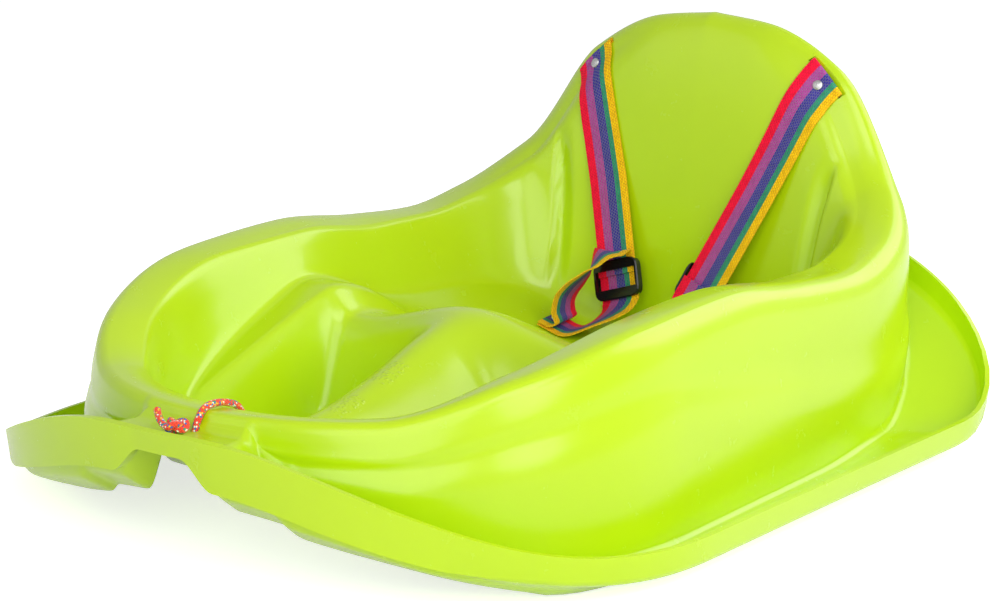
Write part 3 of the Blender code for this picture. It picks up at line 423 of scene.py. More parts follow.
# %% [markdown]
# ## The floor of the tub
# The child sits on a dished seat behind two leg wells. Between the wells stands a
# broad round hump, behind it a ridge carries the knees, and a ledge runs along
# each side. The floor is a height for each place, because such a surface is
# easier to blend than to model by hand.

# %% Floor of the tub
DRAFT_SIDE = 0.019
DRAFT_NOSE = 0.018
DRAFT_TAIL = 0.033
FLOOR_HALF = OPEN_HALF - DRAFT_SIDE
FLOOR_NOSE = OPEN_NOSE - DRAFT_NOSE
FLOOR_TAIL = OPEN_TAIL - DRAFT_TAIL
SEAT_HEIGHT = 0.029
SEAT_DISH = 0.017
SEAT_DISH_HALF = 0.083
SEAT_SLOPE_END = 0.125
WELL_HEIGHT = 0.022
TOE_RISE = 0.020
TOE_Y = -0.138
TOE_POWER = 1.3
KNEE_DEPTH = 0.030
KNEE_FLAT = 0.004
THIGH_HEIGHT = 0.083

# The hump from the knee ridge to the nose, as the picture shows it. The shares
# run from the ridge forwards, and HUMP_NARROWING says how soon it is narrowest.
RIDGE_Y = 0.004
RIDGE_SHARES = (0.0, 0.20, 0.36, 0.57, 0.95, 1.0)
RIDGE_HEIGHTS = (0.0995, 0.0885, 0.0775, 0.0665, 0.057, 0.056)
HUMP_BACK_HALF = 0.086
HUMP_NOSE_HALF = 0.049
HUMP_NARROWING = 1.35
HUMP_BACK_RUN = 0.02
SPINE_RISE = 0.004

# The side ledges, which start further out and lie lower towards the nose
LEDGE_BACK = 0.097
LEDGE_HALF = 0.110
LEDGE_OUTWARD = 1.7
LEDGE_START = 0.008
LEDGE_SLOPE = 0.018
LEDGE_TOP = 0.100
LEDGE_NOSE_RISE = 0.006
LEDGE_FALL = 1.2
LEDGE_POWER = 1.05
HIP_RUN = 0.085


def floor_height(x, y):
    """Top of the tub's floor: wells, a broad round hump, side ledges, knee ridge and dished seat."""
    aside = np.abs(x)
    ahead = np.clip((RIDGE_Y - y) / (FLOOR_NOSE + RIDGE_Y), 0, 1)
    back = smooth((y - RIDGE_Y - KNEE_FLAT) / (SEAT_SLOPE_END - RIDGE_Y))
    hump_back = smooth((y - RIDGE_Y) / (SEAT_SLOPE_END + HUMP_BACK_RUN - RIDGE_Y))
    hump_half = mix(HUMP_BACK_HALF, HUMP_NOSE_HALF, np.clip(ahead * HUMP_NARROWING, 0, 1))
    swell = 1 - smooth(aside / hump_half)
    ledge_from = mix(LEDGE_BACK, LEDGE_HALF, np.clip(ahead * LEDGE_OUTWARD, 0, 1))
    beside = smooth((aside - ledge_from + LEDGE_START) / LEDGE_SLOPE)
    bottom = SEAT_HEIGHT + SEAT_DISH * (aside / SEAT_DISH_HALF) ** 2
    seat = mix(THIGH_HEIGHT, bottom, back)
    spine = mix(RIDGE_HEIGHTS[0], SEAT_HEIGHT + SPINE_RISE, hump_back)
    behind = mix(seat, np.maximum(spine, seat), swell)
    hip = mix(LEDGE_TOP, behind, smooth((y - RIDGE_Y) / HIP_RUN))
    behind = mix(behind, np.maximum(hip, behind), beside)
    ridge = eased(RIDGE_SHARES, RIDGE_HEIGHTS, ahead)
    ledge = mix(LEDGE_TOP, WELL_HEIGHT + LEDGE_NOSE_RISE, np.clip(ahead * LEDGE_FALL, 0, 1) ** LEDGE_POWER)
    toe = TOE_RISE * np.clip((TOE_Y - y) / (FLOOR_NOSE + TOE_Y), 0, 1) ** TOE_POWER
    well = mix(THIGH_HEIGHT, WELL_HEIGHT, smooth((RIDGE_Y - y) / KNEE_DEPTH)) + toe
    front = well + np.maximum(ridge - well, 0) * swell
    front = mix(front, np.maximum(ledge, front), beside)
    return np.where(y > RIDGE_Y, behind, front)


print("seat", SEAT_HEIGHT, "m and knee end of the hump", RIDGE_HEIGHTS[0], "m above the ground")

# %% [markdown]
# ## Stations round the sled
# Every ring of the moulding has the same number of points, so that two rings can
# be joined by quads. The points stand closer together where the bridge and the
# knee ridge need them and further apart along the plain sides.

# %% Stations
POINTS_SIDE = 28
POINTS_TAIL = 13
POINTS_NOSE = 5
NOSE_SHARE = 0.19
TAIL_SHARE = 0.21
BRIDGE_STATIONS = (0.35, 0.65, 1.0)
KNEE_POINT = 9.5
KNEE_SPREAD = 3.0
KNEE_CLOSER = 0.55
FINER_ENDS = 5
FINER_SIDES = 2


def shares():
    """Stations along half an outline, closer together at the bridge and at the knee ridge."""
    marks = [0, ROOF_HALF / 2, ROOF_HALF, (ROOF_HALF + TUNNEL_HALF) / 2, TUNNEL_HALF, BRIDGE_HALF]
    marks += [BRIDGE_HALF + BRIDGE_SLOPE * share for share in BRIDGE_STATIONS]
    marks.append(SKI_HALF + SKI_SLOPE)
    nose = [mark / LIP_LENGTH for mark in marks]
    more = np.linspace(nose[-1], NOSE_SHARE, POINTS_NOSE)
    steps = 1.0 - KNEE_CLOSER * np.exp(-((np.arange(POINTS_SIDE) - KNEE_POINT) / KNEE_SPREAD) ** 2)
    side = NOSE_SHARE + (1 - TAIL_SHARE - NOSE_SHARE) * np.cumsum(steps) / steps.sum()
    tail = np.linspace(1 - TAIL_SHARE, 1, POINTS_TAIL + 1)
    return np.concatenate([nose, more[1:], side, tail[1:]])


def finer(values, steps):
    """The values with more between them, a number of steps for each stretch."""
    parts = [np.linspace(a, b, n + 1)[:-1] for a, b, n in zip(values, values[1:], steps)]
    return np.concatenate(parts + [values[-1:]])


def fine_shares():
    """The stations of the mesh, finer at the nose and the tail than at the sides."""
    s = shares()
    count = len(s) - 1
    at_ends = [k < POINTS_TAIL or k >= count - POINTS_TAIL for k in range(count)]
    return finer(s, [FINER_ENDS if end else FINER_SIDES for end in at_ends])


def full_ring(ring):
    """Both halves of a ring, clockwise from the middle of the nose."""
    half = np.stack(ring, axis=1)
    half[0, 0] = 0.0
    half[-1, 0] = 0.0
    other = half[1:-1][::-1] * np.array([-1.0, 1.0, 1.0])
    return np.concatenate([half, other])


print("stations on half a ring:", len(fine_shares()))

# %% [markdown]
# ## The tray
# The lip is turned down for stiffness, deep at the nose and shallow over the
# tunnel, and a gutter runs behind it to the foot of the tub's wall. Rings are
# laid from the lip inwards. At the nose the gutter follows the runners, and
# further back it follows the lip.

# %% Tray
LIP_DEPTH = 0.017
NOSE_LIP_DEPTH = 0.029
TUNNEL_LIP_DEPTH = 0.0135
NOSE_LIP_SHARE = 0.10
NOSE_LIP_FADE = 0.18
LIP_DRAFT = 0.0015
LIP_STEP = 0.0055
LIP_STEP_LIFT = 0.0006
LIP_SPARE = 0.0005
NOSE_STEP_SHARE = 0.75
SIDE_FROM_SHARE = 0.20
SIDE_FADE_SHARE = 0.12
SIDE_END_Y = 0.17
SIDE_END_RUN = 0.09
GUTTER_END_Y = 0.12
GUTTER_END_RUN = 0.10
REAR_START_Y = -0.10
REAR_RUN = 0.06
FOOT_LIFT = 0.003
# Each ring of the gutter: its share of the way to the foot at the nose and at
# the side, and how far down it is in the channel
GUTTER_RINGS = ((0.10, 0.34, 0.15), (0.24, 0.50, 1.0), (0.80, 0.86, 1.0))


def lip_depth(s):
    """How far the lip is turned down."""
    depth = mix(NOSE_LIP_DEPTH, LIP_DEPTH, smooth((s - NOSE_LIP_SHARE) / NOSE_LIP_FADE))
    return mix(depth, TUNNEL_LIP_DEPTH, step_share(s, ROOF_HALF, ROOF_SLOPE))


def lip_faces(s):
    """The lip's outer bottom edge and the foot of the step behind it, at the nose."""
    lx, ly, fx, fy, gap = lip_to_foot(s)
    low = lip_height(lx, ly) - lip_depth(s)
    places = []
    for d, lift in ((LIP_DRAFT * 2, 0.0), (LIP_DRAFT * 2 + LIP_STEP, LIP_STEP_LIFT)):
        places.append((mix(lx, fx, d / gap), mix(ly, fy, d / gap), low + lift))
    return places


def tray_rings(s):
    """The tray's upper face as rings from the lip to the foot of the tub's wall."""
    lx, ly, fx, fy, gap = lip_to_foot(s)
    inx, iny = (fx - lx) / gap, (fy - ly) / gap
    top = lip_height(lx, ly)
    bridge = step_share(s, BRIDGE_HALF, BRIDGE_SLOPE)
    depth = lip_depth(s)
    side = smooth((s - SIDE_FROM_SHARE) / SIDE_FADE_SHARE) * (1 - smooth((ly - SIDE_END_Y) / SIDE_END_RUN))
    tail = smooth((ly - GUTTER_END_Y) / GUTTER_END_RUN)

    def inside(d):
        return lx + inx * d, ly + iny * d

    def gutter(y, low):
        rear = top - depth + WALL / 2 - CHANNEL_DEPTH * (1 - tail) * low
        flat = channel(s, y) + (1 - low) * CHANNEL_DEPTH * (1 - tail)
        base = mix(flat, rear, smooth((y - REAR_START_Y) / REAR_RUN))
        return mix(base, BRIDGE_HEIGHT, bridge)

    rings = []
    x, y = inside(WALL)
    rings.append((x, y, top))
    x, y = inside(WALL + LIP_DRAFT)
    rings.append((x, y, np.maximum(top - depth + WALL + LIP_SPARE, gutter(y, 0.0) + LIP_SPARE)))
    shelf = WALL + LIP_DRAFT + LIP_STEP * mix(NOSE_STEP_SHARE, 1.0, side)
    x, y = inside(shelf)
    rings.append((x, y, np.maximum(top - depth + WALL / 2, gutter(y, 0.0))))
    rest_of_way = gap - shelf
    for share_front, share_side, low in GUTTER_RINGS:
        x, y = inside(shelf + rest_of_way * mix(share_front, share_side, side))
        rings.append((x, y, gutter(y, low)))
    rings.append((fx, fy, gutter(fy, 1.0) + FOOT_LIFT))
    return rings


print("tray:", len(tray_rings(shares())), "rings")

# %% [markdown]
# ## The tub's wall and rim
# Outside, the wall rises from its foot to a shoulder, with a fine step round it
# like the edge of a skirt. Then it rolls over the crest to the opening. The
# heights change round the sled, low beside the knees and high at the backrest,
# so they are given at shares of the way from the nose to the backrest.

# %% Wall and rim
SHARES = (0.0, 0.14, 0.24, 0.36, 0.48, 0.58, 0.66, 0.73, 0.80, 0.87, 0.94, 1.0)
OPEN_HEIGHTS = (0.0845, 0.086, 0.107, 0.125, 0.128, 0.120, 0.119, 0.1265, 0.147, 0.210, 0.242, 0.2485)
CREST_HEIGHTS = (0.088, 0.090, 0.1085, 0.1265, 0.131, 0.123, 0.119, 0.128, 0.155, 0.2245, 0.250, 0.255)
SKIRT_SHARES = (0.0, 0.14, 0.24, 0.36, 0.48, 0.58, 0.66, 0.80, 1.0)
SKIRT_HEIGHTS = (0.083, 0.078, 0.080, 0.083, 0.072, 0.062, 0.055, 0.049, 0.049)
SKIRT_STEP = 0.0035
SKIRT_LIMITS = (0.30, 0.72)
SKIRT_BELOW = 0.10
SKIRT_ABOVE = 0.08
SWELL_SHARE = 0.60
WALL_SWELL = 0.0008
LOW_WALL = 0.03
LEAST_WALL = 0.002
RIM_DROP = 0.014
ROLL_OUT = 0.65
ROLL_OUT_NOSE = 0.7
ROLL_DOWN = 0.30
RIM_INWARD = 0.60
RIM_FALL = 0.30
EDGE_DROP = 0.0005


def wall_rings(s, foot):
    """The wall's outer face from its foot to the shoulder, and the rim over to the opening."""
    lx, ly, fx, fy, gap = lip_to_foot(s)
    inx, iny = (fx - lx) / gap, (fy - ly) / gap
    crest = eased(SHARES, CREST_HEIGHTS, s)
    sx, sy = rim_outline(s, SHOULDER_HALF, SHOULDER_NOSE, SHOULDER_TAIL)
    shoulder = np.maximum(crest - RIM_DROP, foot + LEAST_WALL)
    line = eased(SKIRT_SHARES, SKIRT_HEIGHTS, s)
    skirt = np.clip((line - foot) / (shoulder - foot), *SKIRT_LIMITS)
    swell = mix(skirt, 1.0, SWELL_SHARE)
    steps = ((skirt - SKIRT_BELOW, SKIRT_STEP), (skirt + SKIRT_ABOVE, 0.0), (swell, WALL_SWELL))
    rings = []
    for up, out in steps:
        out = out * smooth((shoulder - foot) / LOW_WALL)
        x = mix(fx, sx, up) - inx * out
        y = mix(fy, sy, up) - iny * out
        rings.append((x, y, mix(foot, shoulder, up)))
    rings.append((sx, sy, shoulder))
    half = mix(CREST_HALF, SHOULDER_HALF, ROLL_OUT)
    nose = mix(CREST_NOSE, SHOULDER_NOSE, ROLL_OUT_NOSE)
    tail = mix(CREST_TAIL, SHOULDER_TAIL, ROLL_OUT)
    rings.append((*rim_outline(s, half, nose, tail), mix(crest, shoulder, ROLL_DOWN)))
    cx, cy = rim_outline(s, CREST_HALF, CREST_NOSE, CREST_TAIL)
    rings.append((cx, cy, crest))
    edge = eased(SHARES, OPEN_HEIGHTS, s)
    ox, oy = rim_outline(s, OPEN_HALF, OPEN_NOSE, OPEN_TAIL)
    rings.append((mix(cx, ox, RIM_INWARD), mix(cy, oy, RIM_INWARD), mix(crest, edge, RIM_FALL)))
    rings.append((ox, oy, edge - EDGE_DROP))
    return rings


print("crest", CREST_HEIGHTS[0], "m at the nose,", CREST_HEIGHTS[-1], "m at the backrest")

# %% [markdown]
# ## The tub's inside
# Inside, the wall falls to the floor with a slight lean, so that the moulding
# leaves its tool. On the backrest the face is pressed in beside a wing on each
# side and comes back out towards the middle. The depth is worked out for each
# point of the rings, because a cut would leave a hard edge all round.

# %% Inside of the tub
FLOOR_POWERS = (2.3, 5.0)
FLOOR_LIFT = 0.0015
WALL_LEVELS = 16
WALL_SHARES = (0.0, 0.20, 0.40, 0.58, 0.78, 0.91, 1.0)
WALL_DROPS = (0.0, 0.07, 0.26, 0.50, 0.76, 0.93, 1.0)
POCKET_DEPTH = 0.006
POCKET_TOP = 0.172
POCKET_FOOT = 0.070
POCKET_FOOT_RUN = 0.012
POCKET_TOP_FADE = 4
POCKET_FROM_Y = 0.15
WING_TOP_X = 0.1155
WING_FOOT_X = 0.1035
WING_EDGE = 0.0032
WING_FADE = 0.013


def pocket(x, y, z):
    """How far the face of the backrest is pressed in at a place, beside the wings."""
    width = np.clip((POCKET_TOP - z) / (POCKET_TOP - POCKET_FOOT), 0, 1)
    edge_x = mix(WING_FOOT_X, WING_TOP_X, (1 - width) ** 2)
    within = smooth((edge_x - x) / WING_EDGE) * (1 - smooth((edge_x - WING_EDGE - x) / WING_FADE))
    above_foot = smooth((z - POCKET_FOOT + POCKET_FOOT_RUN) / POCKET_FOOT_RUN)
    return POCKET_DEPTH * within * smooth(width * POCKET_TOP_FADE) * above_foot * (y > POCKET_FROM_Y)


def tub_rings(s):
    """The tub's inner wall as rings, from under the opening's edge to the border of the floor."""
    edge = eased(SHARES, OPEN_HEIGHTS, s)
    ox, oy = rim_outline(s, OPEN_HALF, OPEN_NOSE, OPEN_TAIL)
    bx, by = outline(s, FLOOR_HALF, FLOOR_NOSE, FLOOR_TAIL, RIM_NOSE_Y, RIM_TAIL_Y, *FLOOR_POWERS)
    base = floor_height(bx, by)
    rings = []
    for share in np.linspace(0, 1, WALL_LEVELS + 2)[1:-1]:
        down = float(eased(WALL_SHARES, WALL_DROPS, share))
        x, y, z = mix(ox, bx, share), mix(oy, by, share), mix(edge, base, down)
        rings.append((x, y + pocket(x, y, z), z))
    rings.append((bx, by, base + FLOOR_LIFT))
    return rings


def shell_rings(s):
    """The sheet's upper face as rings, from the lip inwards, each (x, y, z)."""
    tray = tray_rings(s)
    return tray + wall_rings(s, tray[-1][2]) + tub_rings(s)


print("the whole sheet:", len(shell_rings(shares())), "rings")

# %% [markdown]
# ## A moulded surface
# Moulded plastic isn't as even as paint: its gloss changes a little from place to
# place, its colour is deeper in some parts, and fine grain from the tool lies
# over it. The lime and the black plastic share this, so it is a node group, which
# is made once and used in both.

# %% Moulded surface
FLOAT, COLOUR, VECTOR = "NodeSocketFloat", "NodeSocketColor", "NodeSocketVector"
CLOUD_SCALE = 9.0
GRAIN_SCALE = 900.0
GRAIN_SHARE = 0.02
SCUFF_SCALE = 60.0


def effect(name, inputs, outputs):
    """An empty shader group with named sockets, and its input and output nodes."""
    group = bpy.data.node_groups.new(name, "ShaderNodeTree")
    for label, kind, value in inputs:
        socket = group.interface.new_socket(label, in_out="INPUT", socket_type=kind)
        if value is not None:
            socket.default_value = value
    for label, kind in outputs:
        group.interface.new_socket(label, in_out="OUTPUT", socket_type=kind)
    return group, group.nodes.new("NodeGroupInput"), group.nodes.new("NodeGroupOutput")


def noise(net, vector, scale, detail, roughness=0.5):
    """Noise from 0 to 1 at the given places."""
    node = net.nodes.new("ShaderNodeTexNoise")
    set_inputs(node, {"Scale": scale, "Detail": detail, "Roughness": roughness})
    net.links.new(vector, node.inputs["Vector"])
    return node.outputs["Fac"]


def spread(net, value, low, high, new_low, new_high):
    """A Map Range node from one range to another."""
    node = net.nodes.new("ShaderNodeMapRange")
    net.links.new(value, node.inputs["Value"])
    set_inputs(node, {"From Min": low, "From Max": high, "To Min": new_low, "To Max": new_high})
    return node.outputs["Result"]


def blended(net, first, second, share, kind="MIX"):
    """A colour mix; each input is a socket, a colour or, for the share, a number."""
    node = net.nodes.new("ShaderNodeMix")
    node.data_type = "RGBA"
    node.blend_type = kind
    for number, value in ((0, share), (6, first), (7, second)):
        feed(net, node.inputs[number], value)
    return node.outputs[2]


moulded, inp, out = effect(
    "moulded_surface",
    [
        ("Vector", VECTOR, None),
        ("Colour", COLOUR, WHITE),
        ("Shade", COLOUR, WHITE),
        ("Roughness", FLOAT, 0.3),
    ],
    [("Colour", COLOUR), ("Roughness", FLOAT), ("Height", FLOAT)],
)
cloud = noise(moulded, inp.outputs["Vector"], CLOUD_SCALE, 2.0)
grain = noise(moulded, inp.outputs["Vector"], GRAIN_SCALE, 2.0)
scuff = noise(moulded, inp.outputs["Vector"], SCUFF_SCALE, 5.0, 0.7)
deeper = spread(moulded, cloud, 0.3, 0.7, 0.0, 1.0)
tint = blended(moulded, inp.outputs["Colour"], inp.outputs["Shade"], deeper)
moulded.links.new(tint, out.inputs["Colour"])
rough = maths(moulded, "ADD", inp.outputs["Roughness"], spread(moulded, scuff, 0.30, 0.75, -0.02, 0.05))
moulded.links.new(rough, out.inputs["Roughness"])
height = maths(moulded, "ADD", maths(moulded, "MULTIPLY", grain, GRAIN_SHARE), cloud)
moulded.links.new(height, out.inputs["Height"])
print("effect:", moulded.name)

# %% [markdown]
# ## Woven yarn
# The webbing and the cord are both made of yarns that go over and under each
# other. A picture of cloth would look flat and repeat itself, so the weave is
# worked out: yarns run along V, a second set crosses them, and each crossing is
# a rounded hump. Every second yarn is moved half a step, as in a real weave. The
# group also gives each crossing a random number and the middle of its yarn. Its
# Shade is painted light: a brightness that is lighter on each hump's crest and
# darker in the valleys, a painted highlight and painted shade over the real bump.

# %% Woven yarn
HUMP_POWER = 0.6
# Painted shading of each yarn hump: the brightness of the darkest valley and of the lightest crest
PAINTED_YARN_SHADING = (0.56, 1.42)


def rounded_wave(net, value):
    """A wave with one round hump per whole number."""
    wave = maths(net, "ABSOLUTE", maths(net, "SINE", maths(net, "MULTIPLY", value, math.pi)))
    return maths(net, "POWER", wave, HUMP_POWER)


woven, inp, out = effect(
    "woven_yarn",
    [
        ("Across", FLOAT, 0.0),
        ("Along", FLOAT, 0.0),
        ("Yarn", FLOAT, 0.0008),
        ("Pick", FLOAT, 0.0011),
    ],
    [("Height", FLOAT), ("Shade", FLOAT), ("Cell", FLOAT), ("Middle", FLOAT)],
)
across = maths(woven, "DIVIDE", inp.outputs["Across"], inp.outputs["Yarn"])
number = maths(woven, "FLOOR", across)
along = maths(woven, "DIVIDE", inp.outputs["Along"], inp.outputs["Pick"])
half_step = maths(woven, "MULTIPLY", maths(woven, "MODULO", number, 2.0), 0.5)
along = maths(woven, "ADD", along, half_step)
hump = maths(woven, "MULTIPLY", rounded_wave(woven, across), rounded_wave(woven, along))
woven.links.new(hump, out.inputs["Height"])
# Shade is painted light: lighter on each hump's crest and darker in the valleys, a painted highlight and
# painted shade
woven.links.new(spread(woven, hump, 0.0, 1.0, *PAINTED_YARN_SHADING), out.inputs["Shade"])
cell, pair = new_nodes(woven, "TexWhiteNoise", "CombineXYZ")
cell.noise_dimensions = "2D"
woven.links.new(number, pair.inputs[0])
woven.links.new(maths(woven, "FLOOR", along), pair.inputs[1])
woven.links.new(pair.outputs[0], cell.inputs["Vector"])
woven.links.new(cell.outputs["Value"], out.inputs["Cell"])
middle = maths(woven, "MULTIPLY", maths(woven, "ADD", number, 0.5), inp.outputs["Yarn"])
woven.links.new(middle, out.inputs["Middle"])
print("effect:", woven.name)

# %% [markdown]
# ## Lime polyethylene
# The moulding is polyethylene, a soft and slightly waxy plastic. A little light
# passes under its surface, so the finish has a trace of subsurface, and a thin
# weak coat gives the glints their sharp core over a softer gloss. On the hump
# two patches are pebbled for grip. They are a second bump in the material, as
# pebbles this fine would cost many thousand faces in the mesh.

# %% Lime polyethylene
BASE_RELIEF = 0.25
COAT_ROUGHNESS = 0.12
GRIP_AT = (-0.090, -0.130)
GRIP_SIZE = (0.010, 0.013)
PEBBLE_SCALE = 430.0


def finish(name):
    """A new material with its node tree and its main shader."""
    made = bpy.data.materials.new(name)
    made.use_nodes = True
    return made, made.node_tree, made.node_tree.nodes["Principled BSDF"]


def use_effect(net, group, **values):
    """A node that uses one of the groups, with its inputs joined or set."""
    node = net.nodes.new("ShaderNodeGroup")
    node.node_tree = group
    for label, value in values.items():
        feed(net, node.inputs[label], value)
    return node


def bump(net, shader, height, strength, distance):
    """A relief from a height, joined to the shader."""
    node = net.nodes.new("ShaderNodeBump")
    set_inputs(node, {"Strength": strength, "Distance": distance})
    net.links.new(height, node.inputs["Height"])
    net.links.new(node.outputs["Normal"], shader.inputs["Normal"])


def plastic(name, colour, shade, roughness, relief, coat):
    """A moulded plastic of two near colours."""
    made, net, shader = finish(name)
    (coords,) = new_nodes(net, "TexCoord")
    place = coords.outputs["Object"]
    surface = use_effect(net, moulded, Vector=place, Colour=colour, Shade=shade, Roughness=roughness)
    net.links.new(surface.outputs["Colour"], shader.inputs["Base Color"])
    net.links.new(surface.outputs["Roughness"], shader.inputs["Roughness"])
    bump(net, shader, surface.outputs["Height"], BASE_RELIEF, relief)
    set_inputs(shader, {"Coat Weight": coat, "Coat Roughness": COAT_ROUGHNESS})
    return made, shader


def grip(net, shader, places, size):
    """Fine pebbling on patches of the hump, on top of the material's own bump."""
    coords, parts, pebbles, relief = new_nodes(net, "TexCoord", "SeparateXYZ", "TexVoronoi", "Bump")
    net.links.new(coords.outputs["Object"], parts.inputs[0])
    net.links.new(coords.outputs["Object"], pebbles.inputs["Vector"])
    pebbles.inputs["Scale"].default_value = PEBBLE_SCALE
    aside = maths(net, "DIVIDE", maths(net, "ABSOLUTE", parts.outputs[0]), size[0])
    mask = None
    for y in places:
        distance = maths(net, "ABSOLUTE", maths(net, "SUBTRACT", parts.outputs[1], y))
        ahead = maths(net, "DIVIDE", distance, size[1])
        patch = spread(net, maths(net, "MAXIMUM", aside, ahead), 0.82, 1.0, 1.0, 0.0)
        mask = patch if mask is None else maths(net, "MAXIMUM", mask, patch)
    round_top = spread(net, pebbles.outputs["Distance"], 0.0, 0.55, 1.0, 0.0)
    net.links.new(maths(net, "MULTIPLY", mask, round_top), relief.inputs["Height"])
    set_inputs(relief, {"Strength": 0.7, "Distance": 0.0007})
    below = shader.inputs["Normal"].links[0].from_socket
    net.links.new(below, relief.inputs["Normal"])
    net.links.new(relief.outputs["Normal"], shader.inputs["Normal"])


LIME_COLOUR = (0.51, 0.745, 0.003, 1)
LIME_SHADE = (0.54, 0.775, 0.004, 1)
LIME, shader = plastic("lime_polyethylene", LIME_COLOUR, LIME_SHADE, 0.24, 0.0010, 0.2)
set_inputs(
    shader,
    {
        "Subsurface Weight": 0.05,
        "Subsurface Radius": (0.6, 1.0, 0.15),
        "Subsurface Scale": 0.012,
        "Specular IOR Level": 0.45,
    },
)
grip(LIME.node_tree, shader, GRIP_AT, GRIP_SIZE)
print("finish:", LIME.name, "with", len(GRIP_AT), "pebbled patches")

# %% [markdown]
# ## Black nylon
# The sliders are moulded too, so they use the same surface with a colour close
# to black. A pure black would hide their form. The low specular keeps them from
# turning grey under the wide lamps.

# %% Black nylon
NYLON_COLOUR = (0.004, 0.004, 0.005, 1)
NYLON_SHADE = (0.008, 0.008, 0.009, 1)
BUCKLE, shader = plastic("black_nylon", NYLON_COLOUR, NYLON_SHADE, 0.20, 0.0002, 0.15)
shader.inputs["Specular IOR Level"].default_value = 0.25
print("finish:", BUCKLE.name)

# %% [markdown]
# ## Striped webbing
# The webbing is woven from dyed yarns, so its stripes run the whole length and
# change colour from one yarn to the next. The finish reads the strap's own UV
# map, which is in metres: U counts the yarns and picks the stripe, and V gives
# the crossings. A painted picture would swim on a strap that turns, and this map
# turns with it. In the three middle stripes pale binding threads show in the
# valleys between the yarns. Each crossing then gets painted shading, lighter on
# its crest and darker in the valleys, and a random tone.

# %% Striped webbing
STRAP_WIDTH = 0.0295
WEB_YARN = 0.00133
WEB_PICK = 0.0022
WEB_RELIEF = 0.0003
# Red, purple, blue, green and yellow: where each stripe starts, its colour and
# how much of the pale thread shows
STRIPES = (
    (0.00, (1.00, 0.003, 0.045), 0.03),
    (0.21, (0.41, 0.024, 0.29), 0.50),
    (0.44, (0.024, 0.016, 0.28), 0.46),
    (0.67, (0.003, 0.28, 0.140), 0.30),
    (0.83, (1.00, 0.56, 0.004), 0.03),
)
PALE_THREAD = (0.66, 0.64, 0.76, 1)
BEYOND_LAST = 0.99


def steps_of(net, value, stops):
    """A colour ramp without blending; each stop is a place and a colour."""
    ramp = net.nodes.new("ShaderNodeValToRGB")
    ramp.color_ramp.interpolation = "CONSTANT"
    while len(ramp.color_ramp.elements) < len(stops):
        ramp.color_ramp.elements.new(BEYOND_LAST)
    for stop, (share, colour) in zip(ramp.color_ramp.elements, stops):
        stop.position = share
        stop.color = (*colour, 1)
    net.links.new(value, ramp.inputs["Fac"])
    return ramp.outputs["Color"]


def as_grey(net, value):
    """One value as a grey colour."""
    grey = net.nodes.new("ShaderNodeCombineColor")
    for socket in grey.inputs:
        net.links.new(value, socket)
    return grey.outputs[0]


def map_parts(net, map_name):
    """U and V of one of the piece's own UV maps, in metres."""
    own_map, parts = new_nodes(net, "UVMap", "SeparateXYZ")
    own_map.uv_map = map_name
    net.links.new(own_map.outputs["UV"], parts.inputs[0])
    return parts.outputs[0], parts.outputs[1]


WEBBING, net, shader = finish("striped_webbing")
across, along = map_parts(net, "cloth")
yarn = use_effect(net, woven, Across=across, Along=along, Yarn=WEB_YARN, Pick=WEB_PICK)
share = maths(net, "DIVIDE", yarn.outputs["Middle"], STRAP_WIDTH)
colour = steps_of(net, share, [(at, tone) for at, tone, _ in STRIPES])
pale = steps_of(net, share, [(at, (much, much, much)) for at, _, much in STRIPES])
valley = maths(net, "SUBTRACT", 1.0, yarn.outputs["Height"])
bound = maths(net, "MULTIPLY", spread(net, valley, 0.40, 0.85, 0.0, 1.0), pale)
colour = blended(net, colour, PALE_THREAD, bound)
# The stripe colour is multiplied by the yarn's painted shading, which is lighter on crests and darker in
# valleys, and by a random tone for each crossing
worn = spread(net, yarn.outputs["Cell"], 0.0, 1.0, 0.86, 1.1)
shade = as_grey(net, maths(net, "MULTIPLY", yarn.outputs["Shade"], worn))
colour = blended(net, colour, shade, 1.0, "MULTIPLY")
net.links.new(colour, shader.inputs["Base Color"])
bump(net, shader, yarn.outputs["Height"], 0.8, WEB_RELIEF)
set_inputs(
    shader,
    {
        "Roughness": 0.75,
        "Sheen Weight": 0.06,
        "Sheen Roughness": 0.4,
        "Specular IOR Level": 0.15,
    },
)
print("finish:", WEBBING.name, "with", len(STRIPES), "stripes")

# %% [markdown]
# ## Rivet steel
# The rivets are plain steel with a drawn, slightly brushed face. Metallic 1 gives
# the metal, and a fine noise changes its roughness and lifts its surface, since
# perfectly smooth steel would only mirror the lamps.

# %% Rivet steel
BRUSH_SCALE = 700.0

STEEL, net, shader = finish("rivet_steel")
(coords,) = new_nodes(net, "TexCoord")
brushed = noise(net, coords.outputs["Object"], BRUSH_SCALE, 4.0, 0.6)
net.links.new(spread(net, brushed, 0.3, 0.7, 0.22, 0.42), shader.inputs["Roughness"])
set_inputs(shader, {"Base Color": (0.50, 0.50, 0.49, 1), "Metallic": 1.0})
bump(net, shader, brushed, 0.15, 0.0001)
print("finish:", STEEL.name)

# %% [markdown]
# ## Red braid
# The tow cord is a red braid with single crossings in other colours. A braid's
# yarns run round the cord both ways, so the weave is laid on the sum and the
# difference of U and V, which turns it by 45 degrees. The random number of each
# crossing picks its colour: most fall in the red part of the ramp. The colour is
# then painted lighter on each hump and darker between them, as painted highlight
# and painted shade.

# %% Red braid
FLECKS = (
    (0.00, (0.95, 0.060, 0.024)),
    (0.66, (0.90, 0.86, 0.74)),
    (0.78, (0.02, 0.13, 0.50)),
    (0.86, (0.02, 0.33, 0.16)),
    (0.92, (0.95, 0.52, 0.03)),
)
CORD_YARN = 0.00157
TIE_YARN = 0.0006
BRAID_RELIEF = 0.0003


